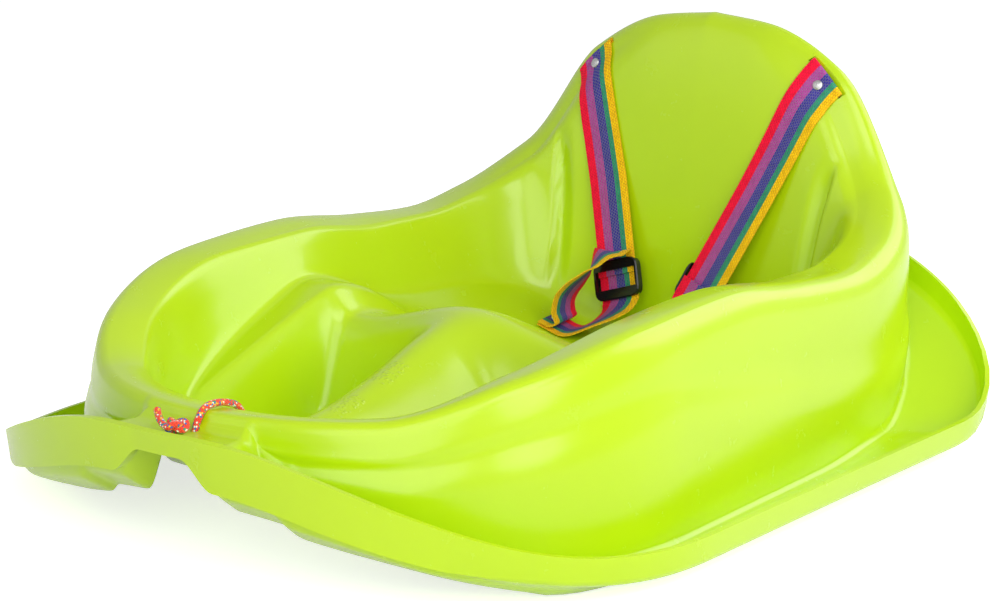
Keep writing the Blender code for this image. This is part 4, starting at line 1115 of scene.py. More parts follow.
def braid(name, yarn_size):
    """The finish of a braided cord with yarns of the given width."""
    made, net, shader = finish(name)
    around, along = map_parts(net, "cord")
    slant = maths(net, "ADD", around, along)
    other = maths(net, "SUBTRACT", around, along)
    yarn = use_effect(net, woven, Across=slant, Along=other, Yarn=yarn_size, Pick=yarn_size)
    colour = steps_of(net, yarn.outputs["Cell"], FLECKS)
    # Painted shading: each hump of the braid is made lighter on top and darker in the valleys
    colour = blended(net, colour, as_grey(net, yarn.outputs["Shade"]), 1.0, "MULTIPLY")
    net.links.new(colour, shader.inputs["Base Color"])
    bump(net, shader, yarn.outputs["Height"], 0.8, BRAID_RELIEF)
    set_inputs(shader, {"Roughness": 0.8, "Sheen Weight": 0.2})
    return made


CORD_BRAID = braid("red_braid", CORD_YARN)
TIE_BRAID = braid("tie_braid", TIE_YARN)
print("finishes:", CORD_BRAID.name, "and", TIE_BRAID.name)

# %% [markdown]
# ## The moulded sheet
# On the real sled this is one blown or pressed sheet, so no primitive gives its
# shape. It is lofted here: quads join the rings from the lip inwards, and a grid
# closes the floor. Every corner of the profile is rounded first, because a sharp
# corner catches no glint, and the corner at the floor is evened out afterwards.

# %% Rounded profile and floor
ROUNDING = 0.45
LIP_ROUND = 0.0014
RIM_ROUND = 0.012
LIP_RINGS = 3
# The ring at the edge of the opening, the last one whose corner is rounded
OPENING = 14
FOOT_RINGS = 3
FOOT_ROWS = 2
FOOT_ROUNDS = 4


def rounded(rings):
    """Each ring but the first and last becomes three, which round the profile's corner."""
    rings = [np.array(r) for r in rings]
    made = [rings[0]]
    for number in range(1, len(rings) - 1):
        before, here, after = rings[number - 1 : number + 2]
        d1, d2 = np.linalg.norm(before - here, axis=1), np.linalg.norm(after - here, axis=1)
        most = LIP_ROUND if number < LIP_RINGS else RIM_ROUND
        r = np.minimum(most, ROUNDING * np.minimum(d1, d2))[:, None]
        a = here + (before - here) * r / np.maximum(d1, 1e-9)[:, None]
        b = here + (after - here) * r / np.maximum(d2, 1e-9)[:, None]
        made += [a, (a + b) / 4 + here / 2, b]
    made.append(rings[-1])
    return made


def floor_patch(ring, corner, rows):
    """A grid inside the last ring: the ring's point at each border place, the inner points, the columns."""
    cols = 2 * corner
    count = len(ring)
    border = {}
    for i in range(cols + 1):
        border[(i, 0)] = (i - corner) % count
        border[(i, rows)] = (corner + rows + (cols - i)) % count
    for j in range(rows + 1):
        border[(cols, j)] = (corner + j) % count
        border[(0, j)] = (count - corner - j) % count
    points = {}
    for i in range(1, cols):
        for j in range(1, rows):
            a, b = i / cols, j / rows
            low, high = ring[border[(i, 0)]], ring[border[(i, rows)]]
            left, side = ring[border[(0, j)]], ring[border[(cols, j)]]
            c00, c10 = ring[border[(0, 0)]], ring[border[(cols, 0)]]
            c01, c11 = ring[border[(0, rows)]], ring[border[(cols, rows)]]
            p = mix(low, high, b) + mix(left, side, a)
            p = p - mix(mix(c00, c10, a), mix(c01, c11, a), b)
            z = float(floor_height(p[0], p[1]))
            points[(i, j)] = (p[0], p[1], z)
    return border, points, cols


def relax(bm, verts, rounds):
    """Moves the points halfway to the middle of their neighbours, some times over."""
    for _ in range(rounds):
        bmesh.ops.smooth_vert(bm, verts=verts, factor=0.5, use_axis_x=True, use_axis_y=True, use_axis_z=True)


def soften_foot(bm, loops, grid, cols, rows):
    """Rounds the corner between the tub's wall and its floor."""
    near = {v for ring in loops[-FOOT_RINGS:] for v in ring}
    for (i, j), v in grid.items():
        if min(i, j, cols - i, rows - j) <= FOOT_ROWS:
            near.add(v)
    relax(bm, list(near), FOOT_ROUNDS)


def upper_face(bm, rings):
    """Quads between the rings and the floor's grid; gives back the loops of points."""
    rows = POINTS_SIDE * FINER_SIDES
    border, inner, cols = floor_patch(rings[-1], POINTS_TAIL * FINER_ENDS, rows)
    loops = [[bm.verts.new(p) for p in ring] for ring in rings]
    count = len(loops[0])
    for outer, inner_loop in zip(loops, loops[1:]):
        for k in range(count):
            n = (k + 1) % count
            bm.faces.new((outer[k], outer[n], inner_loop[n], inner_loop[k]))
    grid = {key: bm.verts.new(p) for key, p in inner.items()}
    for key, k in border.items():
        grid[key] = loops[-1][k]
    for i in range(cols):
        for j in range(rows):
            bm.faces.new((grid[(i, j)], grid[(i + 1, j)], grid[(i + 1, j + 1)], grid[(i, j + 1)]))
    bm.normal_update()
    if sum(f.normal.z for f in bm.faces) < 0:
        bmesh.ops.reverse_faces(bm, faces=bm.faces)
        bm.normal_update()
    soften_foot(bm, loops, grid, cols, rows)
    bm.normal_update()
    return loops


print("opening's edge: ring", OPENING, "of", len(shell_rings(shares())))

# %% [markdown]
# ## The under face
# A Solidify modifier could give the sheet its thickness, but under the nose the
# runners and the tunnel's roof need faces of their own. So each point gets a
# partner one wall below it, the partners under the nose are set straight, and
# the two faces are joined round the lip. The rays that lay the cord and the
# straps on the shell are cast at this mesh.

# %% Under face and closed sheet
MOST_OUT = 1.5
# The last loop of the lip's draft and of its step, and the number of loops up to the wall's foot
DRAFT_LOOPS = 3
STEP_LOOPS = 6
TRAY_LOOPS = 19
UNDER_NOSE_AHEAD = 0.190
UNDER_NOSE_FADE = 0.030
SOFT_LOOPS = slice(7, 21)
SOFT_NOSE_Y = -0.17
NOSE_SOFTENING = 6
SAME_POINT = 0.00002


def under_face(bm, loops, s):
    """A partner one wall below each point; under the nose they lie on the runners and the roof."""
    upper = list(bm.verts)
    faces = list(bm.faces)
    share = np.concatenate([s, s[1:-1][::-1]])
    roof = step_share(share, ROOF_HALF, ROOF_SLOPE)
    lower = {}
    for v in upper:
        factor = min(v.calc_shell_factor(), MOST_OUT)
        lower[v] = bm.verts.new(v.co - v.normal * WALL * factor)
    lip_side, lip_foot = (full_ring(face) for face in lip_faces(s))
    for number, ring in enumerate(loops[:TRAY_LOOPS]):
        for k, v in enumerate(ring):
            nose = float(smooth((-v.co.y - UNDER_NOSE_AHEAD) / UNDER_NOSE_FADE))
            if nose == 0 or number == 0:
                continue
            keel = float(channel(share[k], v.co.y)) - WALL
            under = mix(keel, BRIDGE_HEIGHT - WALL, float(roof[k]))
            straight = Vector((v.co.x, v.co.y, min(v.co.z - WALL, under)))
            if number <= DRAFT_LOOPS:
                straight = Vector(lip_side[k])
            elif number <= STEP_LOOPS:
                straight = Vector(lip_foot[k])
            lower[v].co = lower[v].co.lerp(straight, nose)
    for face in faces:
        bm.faces.new([lower[v] for v in reversed(face.verts)])
    under_nose = [lower[v] for ring in loops[SOFT_LOOPS] for v in ring if v.co.y < SOFT_NOSE_Y]
    relax(bm, under_nose, NOSE_SOFTENING)
    return lower


def build_shell():
    """The closed sheet, its upper and under faces joined round the lip."""
    s = fine_shares()
    rings = [full_ring(ring) for ring in shell_rings(s)]
    rings = rounded(rings[: OPENING + 2]) + rings[OPENING + 2 :]
    bm = bmesh.new()
    loops = upper_face(bm, rings)
    lower = under_face(bm, loops, s)
    lip = loops[0]
    for a, b in zip(lip, lip[1:] + lip[:1]):
        bm.faces.new((b, a, lower[a], lower[b]))
    bmesh.ops.remove_doubles(bm, verts=bm.verts, dist=SAME_POINT)
    bmesh.ops.recalc_face_normals(bm, faces=bm.faces)
    return bm


shell_bm = build_shell()
tree = BVHTree.FromBMesh(shell_bm)
print("shell", len(shell_bm.faces), "faces")

# %% [markdown]
# ## Making a finished piece
# Every piece goes through the same last steps, so they are written once: its mesh
# is moved to its final place, gets its finish and a smooth surface, and sharp
# edges stay sharp from a given angle on. A modifier for the smoothing would do
# the same, but the mesh itself can be exported as it is.

# %% Piece helpers
STRAIGHT_DOWN = Vector((0, 0, -1))
LOOK_FROM = 0.30


def add_piece(name, bm, finish_used, angle):
    """A piece from a finished mesh; edges above the angle, in degrees, stay sharp."""
    mesh = bpy.data.meshes.new(name)
    bmesh.ops.translate(bm, vec=(0.0, SETTLE, 0.0), verts=bm.verts)
    bm.normal_update()
    bm.to_mesh(mesh)
    bm.free()
    mesh.materials.append(finish_used)
    mesh.shade_smooth()
    mesh.set_sharp_from_angle(angle=math.radians(angle))
    piece = bpy.data.objects.new(name, mesh)
    scene.collection.objects.link(piece)
    return piece


def drop(tree, x, y):
    """The highest point of the shell at x, y, and its normal."""
    hit, normal, _, _ = tree.ray_cast(Vector((x, y, LOOK_FROM)), STRAIGHT_DOWN)
    return hit, normal


def hermite(p0, m0, p1, m1, t):
    """A curve from p0 to p1 that leaves along m0 and arrives along m1."""
    return (
        p0 * (2 * t ** 3 - 3 * t ** 2 + 1)
        + m0 * (t ** 3 - 2 * t ** 2 + t)
        + p1 * (3 * t ** 2 - 2 * t ** 3)
        + m1 * (t ** 3 - t ** 2)
    )


def route_length_of(points):
    """Length of the line through the points."""
    return sum((b - a).length for a, b in zip(points, points[1:]))


# %% [markdown]
# ## A cord as a tube
# A cord could be a curve with a round bevel, but such a curve has no map for the
# braid to follow. So it is a tube of rings along a smooth line, with a UV map in
# metres, round the cord and along it. Each ring takes its side from the one
# before, which keeps the braid from twisting in the bends.

# %% Cord helpers
LINE_STEPS = 20


def through(knots, step):
    """Points a step apart on a smooth curve through the given places."""
    points = [Vector(k) for k in knots]
    ends = [points[0] * 2 - points[1]] + points + [points[-1] * 2 - points[-2]]
    dense = []
    for i in range(1, len(ends) - 2):
        a, b, c, d = ends[i - 1 : i + 3]
        ta, tb = (c - a) / 2, (d - b) / 2
        for k in range(LINE_STEPS):
            dense.append(hermite(b, ta, c, tb, k / LINE_STEPS))
    dense.append(points[-1])
    length = [0.0]
    for a, b in zip(dense, dense[1:]):
        length.append(length[-1] + (b - a).length)
    count = max(2, round(length[-1] / step))
    marks = np.linspace(0, length[-1], count + 1)
    table = np.array([tuple(p) for p in dense])
    return [Vector([float(np.interp(m, length, table[:, j])) for j in range(3)]) for m in marks]


def tube(points, diameter, sides=12):
    """A closed round tube with a UV map in metres, round and along."""
    points = [Vector(p) for p in points]
    bm = bmesh.new()
    uv = bm.loops.layers.uv.new("cord")
    way = (points[1] - points[0]).normalized()
    side = way.orthogonal().normalized()
    rings, along = [], 0.0
    for i, p in enumerate(points):
        ahead = points[min(i + 1, len(points) - 1)] - points[max(i - 1, 0)]
        way = ahead.normalized()
        side = (side - way * side.dot(way)).normalized()
        other = way.cross(side)
        if i:
            along += (p - points[i - 1]).length
        ring = []
        for k in range(sides):
            angle = 2 * math.pi * k / sides
            ring.append(bm.verts.new(p + (side * math.cos(angle) + other * math.sin(angle)) * diameter / 2))
        rings.append((ring, along))
    turn = math.pi * diameter / sides
    for (low, a), (high, b) in zip(rings, rings[1:]):
        for k in range(sides):
            n = (k + 1) % sides
            face = bm.faces.new((low[k], low[n], high[n], high[k]))
            for loop, (u, v) in zip(face.loops, ((k, a), (k + 1, a), (k + 1, b), (k, b))):
                loop[uv].uv = (u * turn, v)
    bm.faces.new(rings[0][0][::-1])
    bm.faces.new(rings[-1][0])
    bmesh.ops.recalc_face_normals(bm, faces=bm.faces)
    return bm


# %% [markdown]
# ## Where the cord runs
# The cord is knotted on top of the nose, dives through one hole, comes up the
# other and climbs over the rim into the left leg well. It lies on the shell all
# the way, so each place of the free part is found by a ray to the shell and then
# pushed out until the whole thickness is clear. A cord that is drawn by eye
# floats or sinks in.

# %% Cord sizes
CORD = 0.004
CORD_HOLE = 0.0050
SEAT_GAP = 0.0004
KNOT_X = 0.000
KNOT_TO_LIP = 0.0145
KNOT_Y = KNOT_TO_LIP - LIP_NOSE
RISER_X = 0.007
HOLES_APART = 0.010
RISER_Y = KNOT_Y + HOLES_APART
BEND_STEPS = 12
BEND_SPARE = 0.0005
COIL_X = 0.075
COIL_Y = -0.112
COIL_RADIUS = 0.0225
COIL_TURNS = 7
COIL_PITCH = 0.0047
COIL_ENTRY = -125
COIL_STEPS = 32
COIL_SPARE = 0.0002
COIL_PROBES = 24

knot_at = Vector((KNOT_X, KNOT_Y, BRIDGE_HEIGHT))
riser_at = Vector((RISER_X, RISER_Y, BRIDGE_HEIGHT))
coil_at = Vector((COIL_X, COIL_Y, 0))
half_cord = CORD / 2
rest = half_cord + SEAT_GAP
print("holes", round((riser_at - knot_at).length, 4), "m apart")

# %% [markdown]
# ## Through the bridge
# Below the knot the cord passes the first hole, turns half a circle under the
# bridge and comes up the second hole. The turn is an arc, so a loop works it
# out. The few heights above and in the holes are chosen.

# %% Cord through the bridge
BRIDGE_UNDER = BRIDGE_HEIGHT - WALL
FIRST_HEIGHTS = (0.0055, 0.0025, 0.0, -WALL)
RISER_HEIGHTS = (-WALL, 0.0015)


def bend_below():
    """Half a turn under the bridge, from one hole to the other."""
    apart = riser_at - knot_at
    bend = apart.length / 2
    places = []
    for k in range(1, BEND_STEPS):
        angle = math.pi * k / BEND_STEPS
        low = (knot_at + riser_at) / 2 - apart / 2 * math.cos(angle)
        places.append(Vector((low.x, low.y, BRIDGE_UNDER - BEND_SPARE - bend * math.sin(angle))))
    return places


first = [knot_at + Vector((0, 0, height)) for height in FIRST_HEIGHTS]
underside = bend_below()
riser = [riser_at + Vector((0, 0, height)) for height in RISER_HEIGHTS]
print("under the bridge:", len(underside), "places")

# %% [markdown]
# ## The cord in the tub
# The free part runs over the rim with a gentle swing to the side and then down
# to the coil. A few chosen places would leave corners, so the line is smoothed
# some rounds over, and each point is cleared from the shell again every time.

# %% Cord over the rim
OVER_X = RISER_X - 0.002
OVER_Y = (RISER_Y + 0.007, 0.005 - OPEN_NOSE)
OVER_STEPS = 9
OVER_SPARE = 0.0006
BEHIND = (OVER_X + 0.004, OVER_Y[1] + 0.022)
BEHIND_STEPS = 5
INSIDE_STEPS = 8
INSIDE_SPARE = 0.0008
TOUCH_BEFORE = 0.018
LEAD_BEFORE = 0.006
LEAD_LIFT = 0.0015
POINT_STEP = CORD * 0.6
SMOOTHING_ROUNDS = 6
# The first points run through the bridge and are never pushed out, and the last
# ones before the coil keep their places
CLEAR_FROM = 24
KEPT_AT_COIL = 6
RIM_ABOVE = 0.004
RIM_AHEAD = 0.0155
LEAST_SPARE = 0.0001
PUSH_ROUNDS = 12
CLOSE_ENOUGH = 1e-5
PUSH_BEYOND = 1e-4


def ring_probe():
    """The highest floor under the coil, which the lowest turn clears."""
    heights = []
    for k in range(COIL_PROBES):
        angle = 2 * math.pi * k / COIL_PROBES
        x = COIL_X + COIL_RADIUS * math.cos(angle)
        y = COIL_Y + COIL_RADIUS * math.sin(angle)
        heights.append(drop(tree, x, y)[0].z)
    return max(heights)


def cleared(point, more):
    """The place, pushed away from the shell until the cord and a spare gap fit between."""
    for _ in range(PUSH_ROUNDS):
        near, _, _, gap = tree.find_nearest(point)
        if gap >= rest + more - CLOSE_ENOUGH:
            break
        point = point + (point - near).normalized() * (rest + more - gap + PUSH_BEYOND)
    return point


def above(x, y, more):
    """A place for the cord's middle that clears the shell on every side."""
    hit, normal = drop(tree, x, y)
    return cleared(hit + normal * (rest + more), more)


def above_line(start, end, steps, marks, more):
    """Places above the shell at some steps of the way from one x, y to another."""
    return [above(mix(start[0], end[0], k / steps), mix(start[1], end[1], k / steps), more) for k in marks]


def smoothed(points):
    """Evens out the line and, past the bridge, pushes it out of the shell again."""
    for _ in range(SMOOTHING_ROUNDS):
        for k in range(1, len(points) - KEPT_AT_COIL):
            p = points[k] / 2 + (points[k - 1] + points[k + 1]) / 4
            over_rim = p.z > BRIDGE_HEIGHT + RIM_ABOVE or p.y > RISER_Y + RIM_AHEAD
            points[k] = cleared(p, LEAST_SPARE) if over_rim and k > CLEAR_FROM else p
    return points


coil_floor = ring_probe() + rest + COIL_SPARE
start_angle = math.radians(COIL_ENTRY)
radial = Vector((math.cos(start_angle), math.sin(start_angle), 0))
forward = Vector((-radial.y, radial.x, 0))
entry = coil_at + radial * COIL_RADIUS + Vector((0, 0, coil_floor))
touch = entry - forward * TOUCH_BEFORE
over = above_line((RISER_X, OVER_Y[0]), (OVER_X, OVER_Y[1]), OVER_STEPS, range(OVER_STEPS + 1), OVER_SPARE)
down = above_line((OVER_X, OVER_Y[1]), BEHIND, BEHIND_STEPS, range(1, BEHIND_STEPS + 1), INSIDE_SPARE)
down += above_line(BEHIND, touch, INSIDE_STEPS, range(1, INSIDE_STEPS - 1), INSIDE_SPARE)
lead = [touch + Vector((0, 0, LEAD_LIFT)), entry - forward * LEAD_BEFORE, entry]
free = smoothed(through(first + underside + riser + over + down + lead, POINT_STEP))
print("free part of the cord", round(route_length_of(free), 3), "m")

# %% [markdown]
# ## The coil
# The rest of the cord isn't seen in the picture, so it is put up in a round coil
# that lies in the well. A coil is a helix, and a loop of sines and cosines is
# the plainest way to make one. Its first turn begins where the free part ends,
# in the same direction, so the whole cord is one tube.

# %% Coil and cord
CORD_SHARP = 50

turns = []
for k in range(1, COIL_TURNS * COIL_STEPS + 1):
    angle = start_angle + 2 * math.pi * k / COIL_STEPS
    rise = coil_floor + COIL_PITCH * k / COIL_STEPS
    turns.append(coil_at + Vector((COIL_RADIUS * math.cos(angle), COIL_RADIUS * math.sin(angle), rise)))
route = free + turns
cord = add_piece("red_cord", tube(route, CORD), CORD_BRAID, CORD_SHARP)
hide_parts("tow_cord", "cord_coil")
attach(cord, "sled")

# %% [markdown]
# ## The knot
# The end on the nose is an overhand knot drawn tight. Its line is a trefoil, a
# curve of three lobes that passes over and under itself, left open for a short
# end to the side. A ball would be quicker to make, but at this size the eye
# looks for the strands.

# %% Knot
KNOT_TURN = CORD * 0.45
KNOT_ASIDE = 0.003
KNOT_SPARE = 0.0004
KNOT_POINTS = 64
KNOT_HALF_TURNS = 1.93
END_POINTS = 5
END_STEP = 0.0030
END_CURL = 0.00025


def trefoil(angle):
    """A place on a trefoil knot whose three lobes reach three units out."""
    return Vector((
        math.sin(angle) + 2 * math.sin(2 * angle),
        math.cos(angle) - 2 * math.cos(2 * angle),
        -math.sin(3 * angle),
    ))


knot_middle = knot_at + Vector((KNOT_ASIDE, 0, half_cord + KNOT_TURN + SEAT_GAP + KNOT_SPARE))
wrap = []
for k in range(KNOT_POINTS):
    angle = math.pi * (1 + KNOT_HALF_TURNS * k / (KNOT_POINTS - 1))
    wrap.append(knot_middle + trefoil(angle) * KNOT_TURN)
tail_end = []
for k in range(END_POINTS, 0, -1):
    tail_end.append(wrap[0] + Vector((-END_STEP * k, END_CURL * k * k, END_CURL * k * k)))
knot = add_piece("red_cord_knot", tube(tail_end + wrap, CORD), CORD_BRAID, CORD_SHARP)
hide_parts("cord_knot")
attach(knot, "sled")
print("knot", len(tail_end + wrap), "points")

# %% [markdown]
# ## The tie
# A thin cord holds the coil together. It is a narrow upright loop round all the
# turns: a half circle over the highest one, a half circle under the lowest one
# and straight runs between them, as wide as the cord and its gaps ask for.

# %% Tie
TIE = 0.0016
TIE_ANGLE = 60
TIE_HALF_POINTS = 12
TIE_SIDES = 8
TIE_SHARP = 60

tie_angle = math.radians(TIE_ANGLE)
radial = Vector((math.cos(tie_angle), math.sin(tie_angle), 0))
low = coil_floor + COIL_PITCH * (tie_angle - start_angle) / (2 * math.pi)
high = low + COIL_PITCH * (COIL_TURNS - 1)
ease = half_cord + SEAT_GAP + TIE / 2
loop = []
for side, level in ((1, high), (-1, low)):
    for k in range(TIE_HALF_POINTS):
        angle = math.pi * k / (TIE_HALF_POINTS - 1)
        loop.append((side * ease * math.cos(angle), level + side * ease * math.sin(angle)))
loop.append(loop[0])
tie_route = [coil_at + radial * (COIL_RADIUS + out) + Vector((0, 0, z)) for out, z in loop]
tie = add_piece("coil_tie", tube(tie_route, TIE, TIE_SIDES), TIE_BRAID, TIE_SHARP)
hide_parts("cord_tie")
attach(tie, "sled")

print("cord pieces:", cord.name, knot.name, tie.name)

# %% [markdown]
# ## Where the webbing runs
# Each strap comes out of a slot in the rim's crest, lies over the rim, runs
# straight down to its slider and then turns a quarter to lie flat under a rivet
# on the seat. Webbing bends one way only, and a bevelled curve would twist it.
# So the band is made of rows across its width, each with its own direction, and
# the rows that touch the shell are found by rays.

# %% Webbing sizes
COLUMNS = 5
STRAP_THICK = 0.0012
HALF_THICK = STRAP_THICK / 2
SLOT_LENGTH = 0.0370
SLOT_OPEN = 0.0056
SLOT_TO_SIDE = 0.0545
SLOT_X = OPEN_HALF - SLOT_TO_SIDE
SLOT_INSET = 0.0060
RIM_LIE = 0.0064
LEFT_AHEAD = 0.045
RIGHT_AHEAD = 0.039
LEFT_SLIDER_AT = (0.029, OPEN_TAIL - LEFT_AHEAD, 0.0765)
RIGHT_SLIDER_AT = (-0.042, OPEN_TAIL - RIGHT_AHEAD, 0.0730)
SLIDER_HEIGHT = 0.0272
SLIDER_BACK = 0.0022
SLIDER_MIDDLE = 0.0042
STRAP_SLIDE = 0.050
ANCHOR_TO_SIDE = 0.078
ANCHOR_AHEAD = 0.070
ANCHOR_X = OPEN_HALF - ANCHOR_TO_SIDE
ANCHOR_Y = OPEN_TAIL - ANCHOR_AHEAD
BACKREST_SHARE = 0.85
HALVINGS = 40
RIM_CURVE = 0.9
RIM_SLOPE = 0.1


def axes_of(along, across):
    """Right-handed axes from a direction and a second one near it."""
    z = Vector(along).normalized()
    x = Vector(across)
    x = (x - z * x.dot(z)).normalized()
    return x, z.cross(x), z


def column_shares():
    """Places across the strap, from -1 at one edge to 1 at the other."""
    return [2 * k / (COLUMNS - 1) - 1 for k in range(COLUMNS)]


def flat_row(centre, across, normal):
    half = STRAP_WIDTH / 2
    return [(centre + across * half * share, normal) for share in column_shares()]


def crest_share(x):
    """The share of the way round at which the crest stands this far from the middle, on the backrest."""
    low, high = BACKREST_SHARE, 1.0
    for _ in range(HALVINGS):
        middle = (low + high) / 2
        if float(rim_outline(middle, CREST_HALF, CREST_NOSE, CREST_TAIL)[0]) > x:
            low = middle
        else:
            high = middle
    return (low + high) / 2


def rim_point(s, side, inward):
    """A point of the rim's top: 0 is the crest, 1 the edge of the opening."""
    cx, cy = rim_outline(s, CREST_HALF, CREST_NOSE, CREST_TAIL)
    ox, oy = rim_outline(s, OPEN_HALF, OPEN_NOSE, OPEN_TAIL)
    top = float(eased(SHARES, CREST_HEIGHTS, s))
    edge = float(eased(SHARES, OPEN_HEIGHTS, s))
    z = mix(top, edge, inward ** 2 * RIM_CURVE + inward * RIM_SLOPE)
    return Vector((side * float(mix(cx, ox, inward)), float(mix(cy, oy, inward)), z))


print("slot", SLOT_LENGTH, "m long for webbing of", STRAP_WIDTH, "m")

# %% [markdown]
# ## One side's places
# The two straps run alike, but their sliders hang at different heights. So each
# side gets one object that holds its places and directions: where the slot is,
# which way is up and inward there, where the slider and the rivet are. All of
# them follow from the shell and the named sizes.

# %% Sides
SLOT_REACH = 1.25
ABOVE_RIM = 0.05
ABOVE_ROW = 0.04
ABOVE_LAID = 0.02
LOOK_BELOW = 0.04
LAID_SPARE = 0.0003
LAND_AHEAD = 0.10
LAID_LEAST = SEAT_GAP + HALF_THICK + LAID_SPARE


def pointing(vector, along_axis, sign):
    """The vector or its opposite, whichever has the wanted sign on one axis."""
    return vector if vector[along_axis] * sign > 0 else -vector


class Side:
    """Places and directions of one side's strap, all found from the shell and the named sizes.

    At the slot, along follows the rim, and inward and up are square to it. The strap hangs
    along run, its width lies across and its face looks to the front. It lies on the seat
    along land, with its width along seat_across.
    """

    def __init__(self, tree, side, slider_at):
        self.tree = tree
        self.side = side
        share = crest_share(SLOT_X)
        step = STRAP_WIDTH / 2 / LIP_LENGTH * SLOT_REACH
        inset = SLOT_INSET / (CREST_TAIL - OPEN_TAIL)
        along = rim_point(share + step, side, inset) - rim_point(share - step, side, inset)
        self.along = pointing(along, 0, 1).normalized()
        inward = Vector((0.0, -1.0, 0.0))
        self.inward = (inward - self.along * inward.dot(self.along)).normalized()
        self.up = pointing(self.along.cross(self.inward), 2, 1)
        top = rim_point(share, side, inset)
        self.crest = tree.ray_cast(top + self.up * ABOVE_RIM, -self.up)[0]
        self.slider = Vector(slider_at)
        leaving = self.slider - self.crest
        lean = leaving.dot(self.along) / leaving.length
        self.lean = lean / math.sqrt(1 - lean * lean)
        self.anchor, self.seat = drop(tree, side * ANCHOR_X, ANCHOR_Y)
        self.edge = self.on_rim(RIM_LIE)[COLUMNS // 2]
        self.run = (self.slider - self.edge[0]).normalized()
        self.across, y, _ = axes_of(-self.run, (1, 0, 0))
        self.front = pointing(y, 1, -1)
        land = Vector((side, -LAND_AHEAD, 0.0))
        self.land = (land - self.seat * land.dot(self.seat)).normalized()
        self.seat_across = pointing(self.land.cross(self.seat).normalized(), 1, side)

    def on_rim(self, distance, lift=0.0):
        """A row that lies on the rim, this far inwards from the slot."""
        start = self.crest + (self.inward + self.along * self.lean) * distance
        row = []
        for share in column_shares():
            sheared = share * STRAP_WIDTH / 2 * math.sqrt(1 + self.lean**2)
            above_it = start + self.along * sheared + self.up * ABOVE_ROW
            hit, normal, _, _ = self.tree.ray_cast(above_it, -self.up)
            row.append((hit + normal * (SEAT_GAP + HALF_THICK + lift), normal))
        return row

    def laid(self, row):
        """The row, moved out where it would sink into the shell."""
        moved = []
        for point, n in row:
            hit = self.tree.ray_cast(point + n * ABOVE_LAID, -n, LOOK_BELOW)[0]
            short = 0.0 if hit is None else LAID_LEAST - (point - hit).dot(n)
            moved.append((point + n * max(0.0, short), n))
        return moved


print("anchors", round(ANCHOR_X, 4), "m from the middle")

# %% [markdown]
# ## From the slot to the slider
# The strap rises out of the slot, drapes over the rim and leaves it towards the
# slider. Between the rim's slope and the hanging run it turns a little about its
# own length, so these rows blend from one direction to the other, and from there
# on the strap is straight and flat.

# %% Upper run
SLOT_DEPTHS = (0.0085, 0.0045, 0.0005)
FIRST_ON_RIM = 0.0012
FIRST_LIFT = 0.0006
FIRST_LEAN = 0.9
ON_RIM = (0.0026, 0.0046, RIM_LIE)
STRAP_TURN = 0.022
TURN_AHEAD = 0.001
TURN_PULL = 0.014
TURN_STEPS = (0.14, 0.28, 0.42, 0.56, 0.7, 0.85, 1.0)
TURN_EARLY = 1.4
SLIDE_SPARE = 0.004
HANGING_STEPS = (0.25, 0.5, 0.75)


def leaving_rows(s, turned_at, stretch):
    """From the rim's edge, turned step by step towards the slider."""
    edge, normal = s.edge
    way = s.inward + s.along * s.lean
    way = (way - normal * way.dot(normal)).normalized()
    rows = []
    for t in TURN_STEPS:
        centre = hermite(edge, way * TURN_PULL, turned_at, s.run * TURN_PULL, t)
        n = normal.lerp(s.front, float(smooth(t * TURN_EARLY))).normalized()
        a = s.along.lerp(s.across, float(smooth(t)))
        a = (a - n * a.dot(n)).normalized() * mix(stretch, 1.0, float(smooth(t)))
        rows.append(s.laid(flat_row(centre, a, n)))
    return rows


def upper_rows(s):
    """From the slot over the rim, turned towards the slider and straight down to it."""
    stretch = math.sqrt(1 + s.lean**2)
    rows = [flat_row(s.crest - s.up * depth, s.along * stretch, -s.inward) for depth in SLOT_DEPTHS]
    first_row = s.on_rim(FIRST_ON_RIM, FIRST_LIFT)
    rows.append([(p, (n - s.inward * FIRST_LEAN).normalized()) for p, n in first_row])
    for distance in ON_RIM:
        rows.append(s.on_rim(distance))
    turned_at = s.edge[0] + s.run * STRAP_TURN + s.front * TURN_AHEAD
    rows += leaving_rows(s, turned_at, stretch)
    top = s.slider - s.run * (STRAP_SLIDE + SLIDER_HEIGHT / 2 + SLIDE_SPARE)
    for t in HANGING_STEPS:
        rows.append(s.laid(flat_row(turned_at.lerp(top, t), s.across, s.front)))
    for centre in (top, s.slider):
        rows.append(flat_row(centre, s.across, s.front))
    return rows


print("upper run:", len(SLOT_DEPTHS + ON_RIM + TURN_STEPS + HANGING_STEPS) + 3, "rows")

# %% [markdown]
# ## From the slider to the seat
# Below the slider the strap is slack. It turns a quarter and lands flat under the
# rivet. Stations with a place and a width direction are set along the way, and a
# smooth line through them gives the rows between. Near the rivet the rows stay
# as they are, because that part has to lie on the seat.

# %% Lower run
SLACK_STATIONS = 5
STEPS_BETWEEN = 2
LOOK_AHEAD = 0.02
SQUARE_RUN = 2
FOOT_BELOW = 0.0012
START_WITHIN = 0.003
START_SHARE = 0.6
RIVET_SPARE = 0.0006
LAND_BEFORE = 0.011
LAND_BEYOND = 0.0055
LEAVE_PULL = 0.022
LAND_PULL = 0.026
SQUARE_FROM = 2
LAST_SWEPT = 4


def row_on(centre, way, across, square):
    """A flat row on a line, its width turned square to the line by a share."""
    way = way.normalized()
    across = (across - way * across.dot(way) * square).normalized()
    return flat_row(centre, across, way.cross(across).normalized())


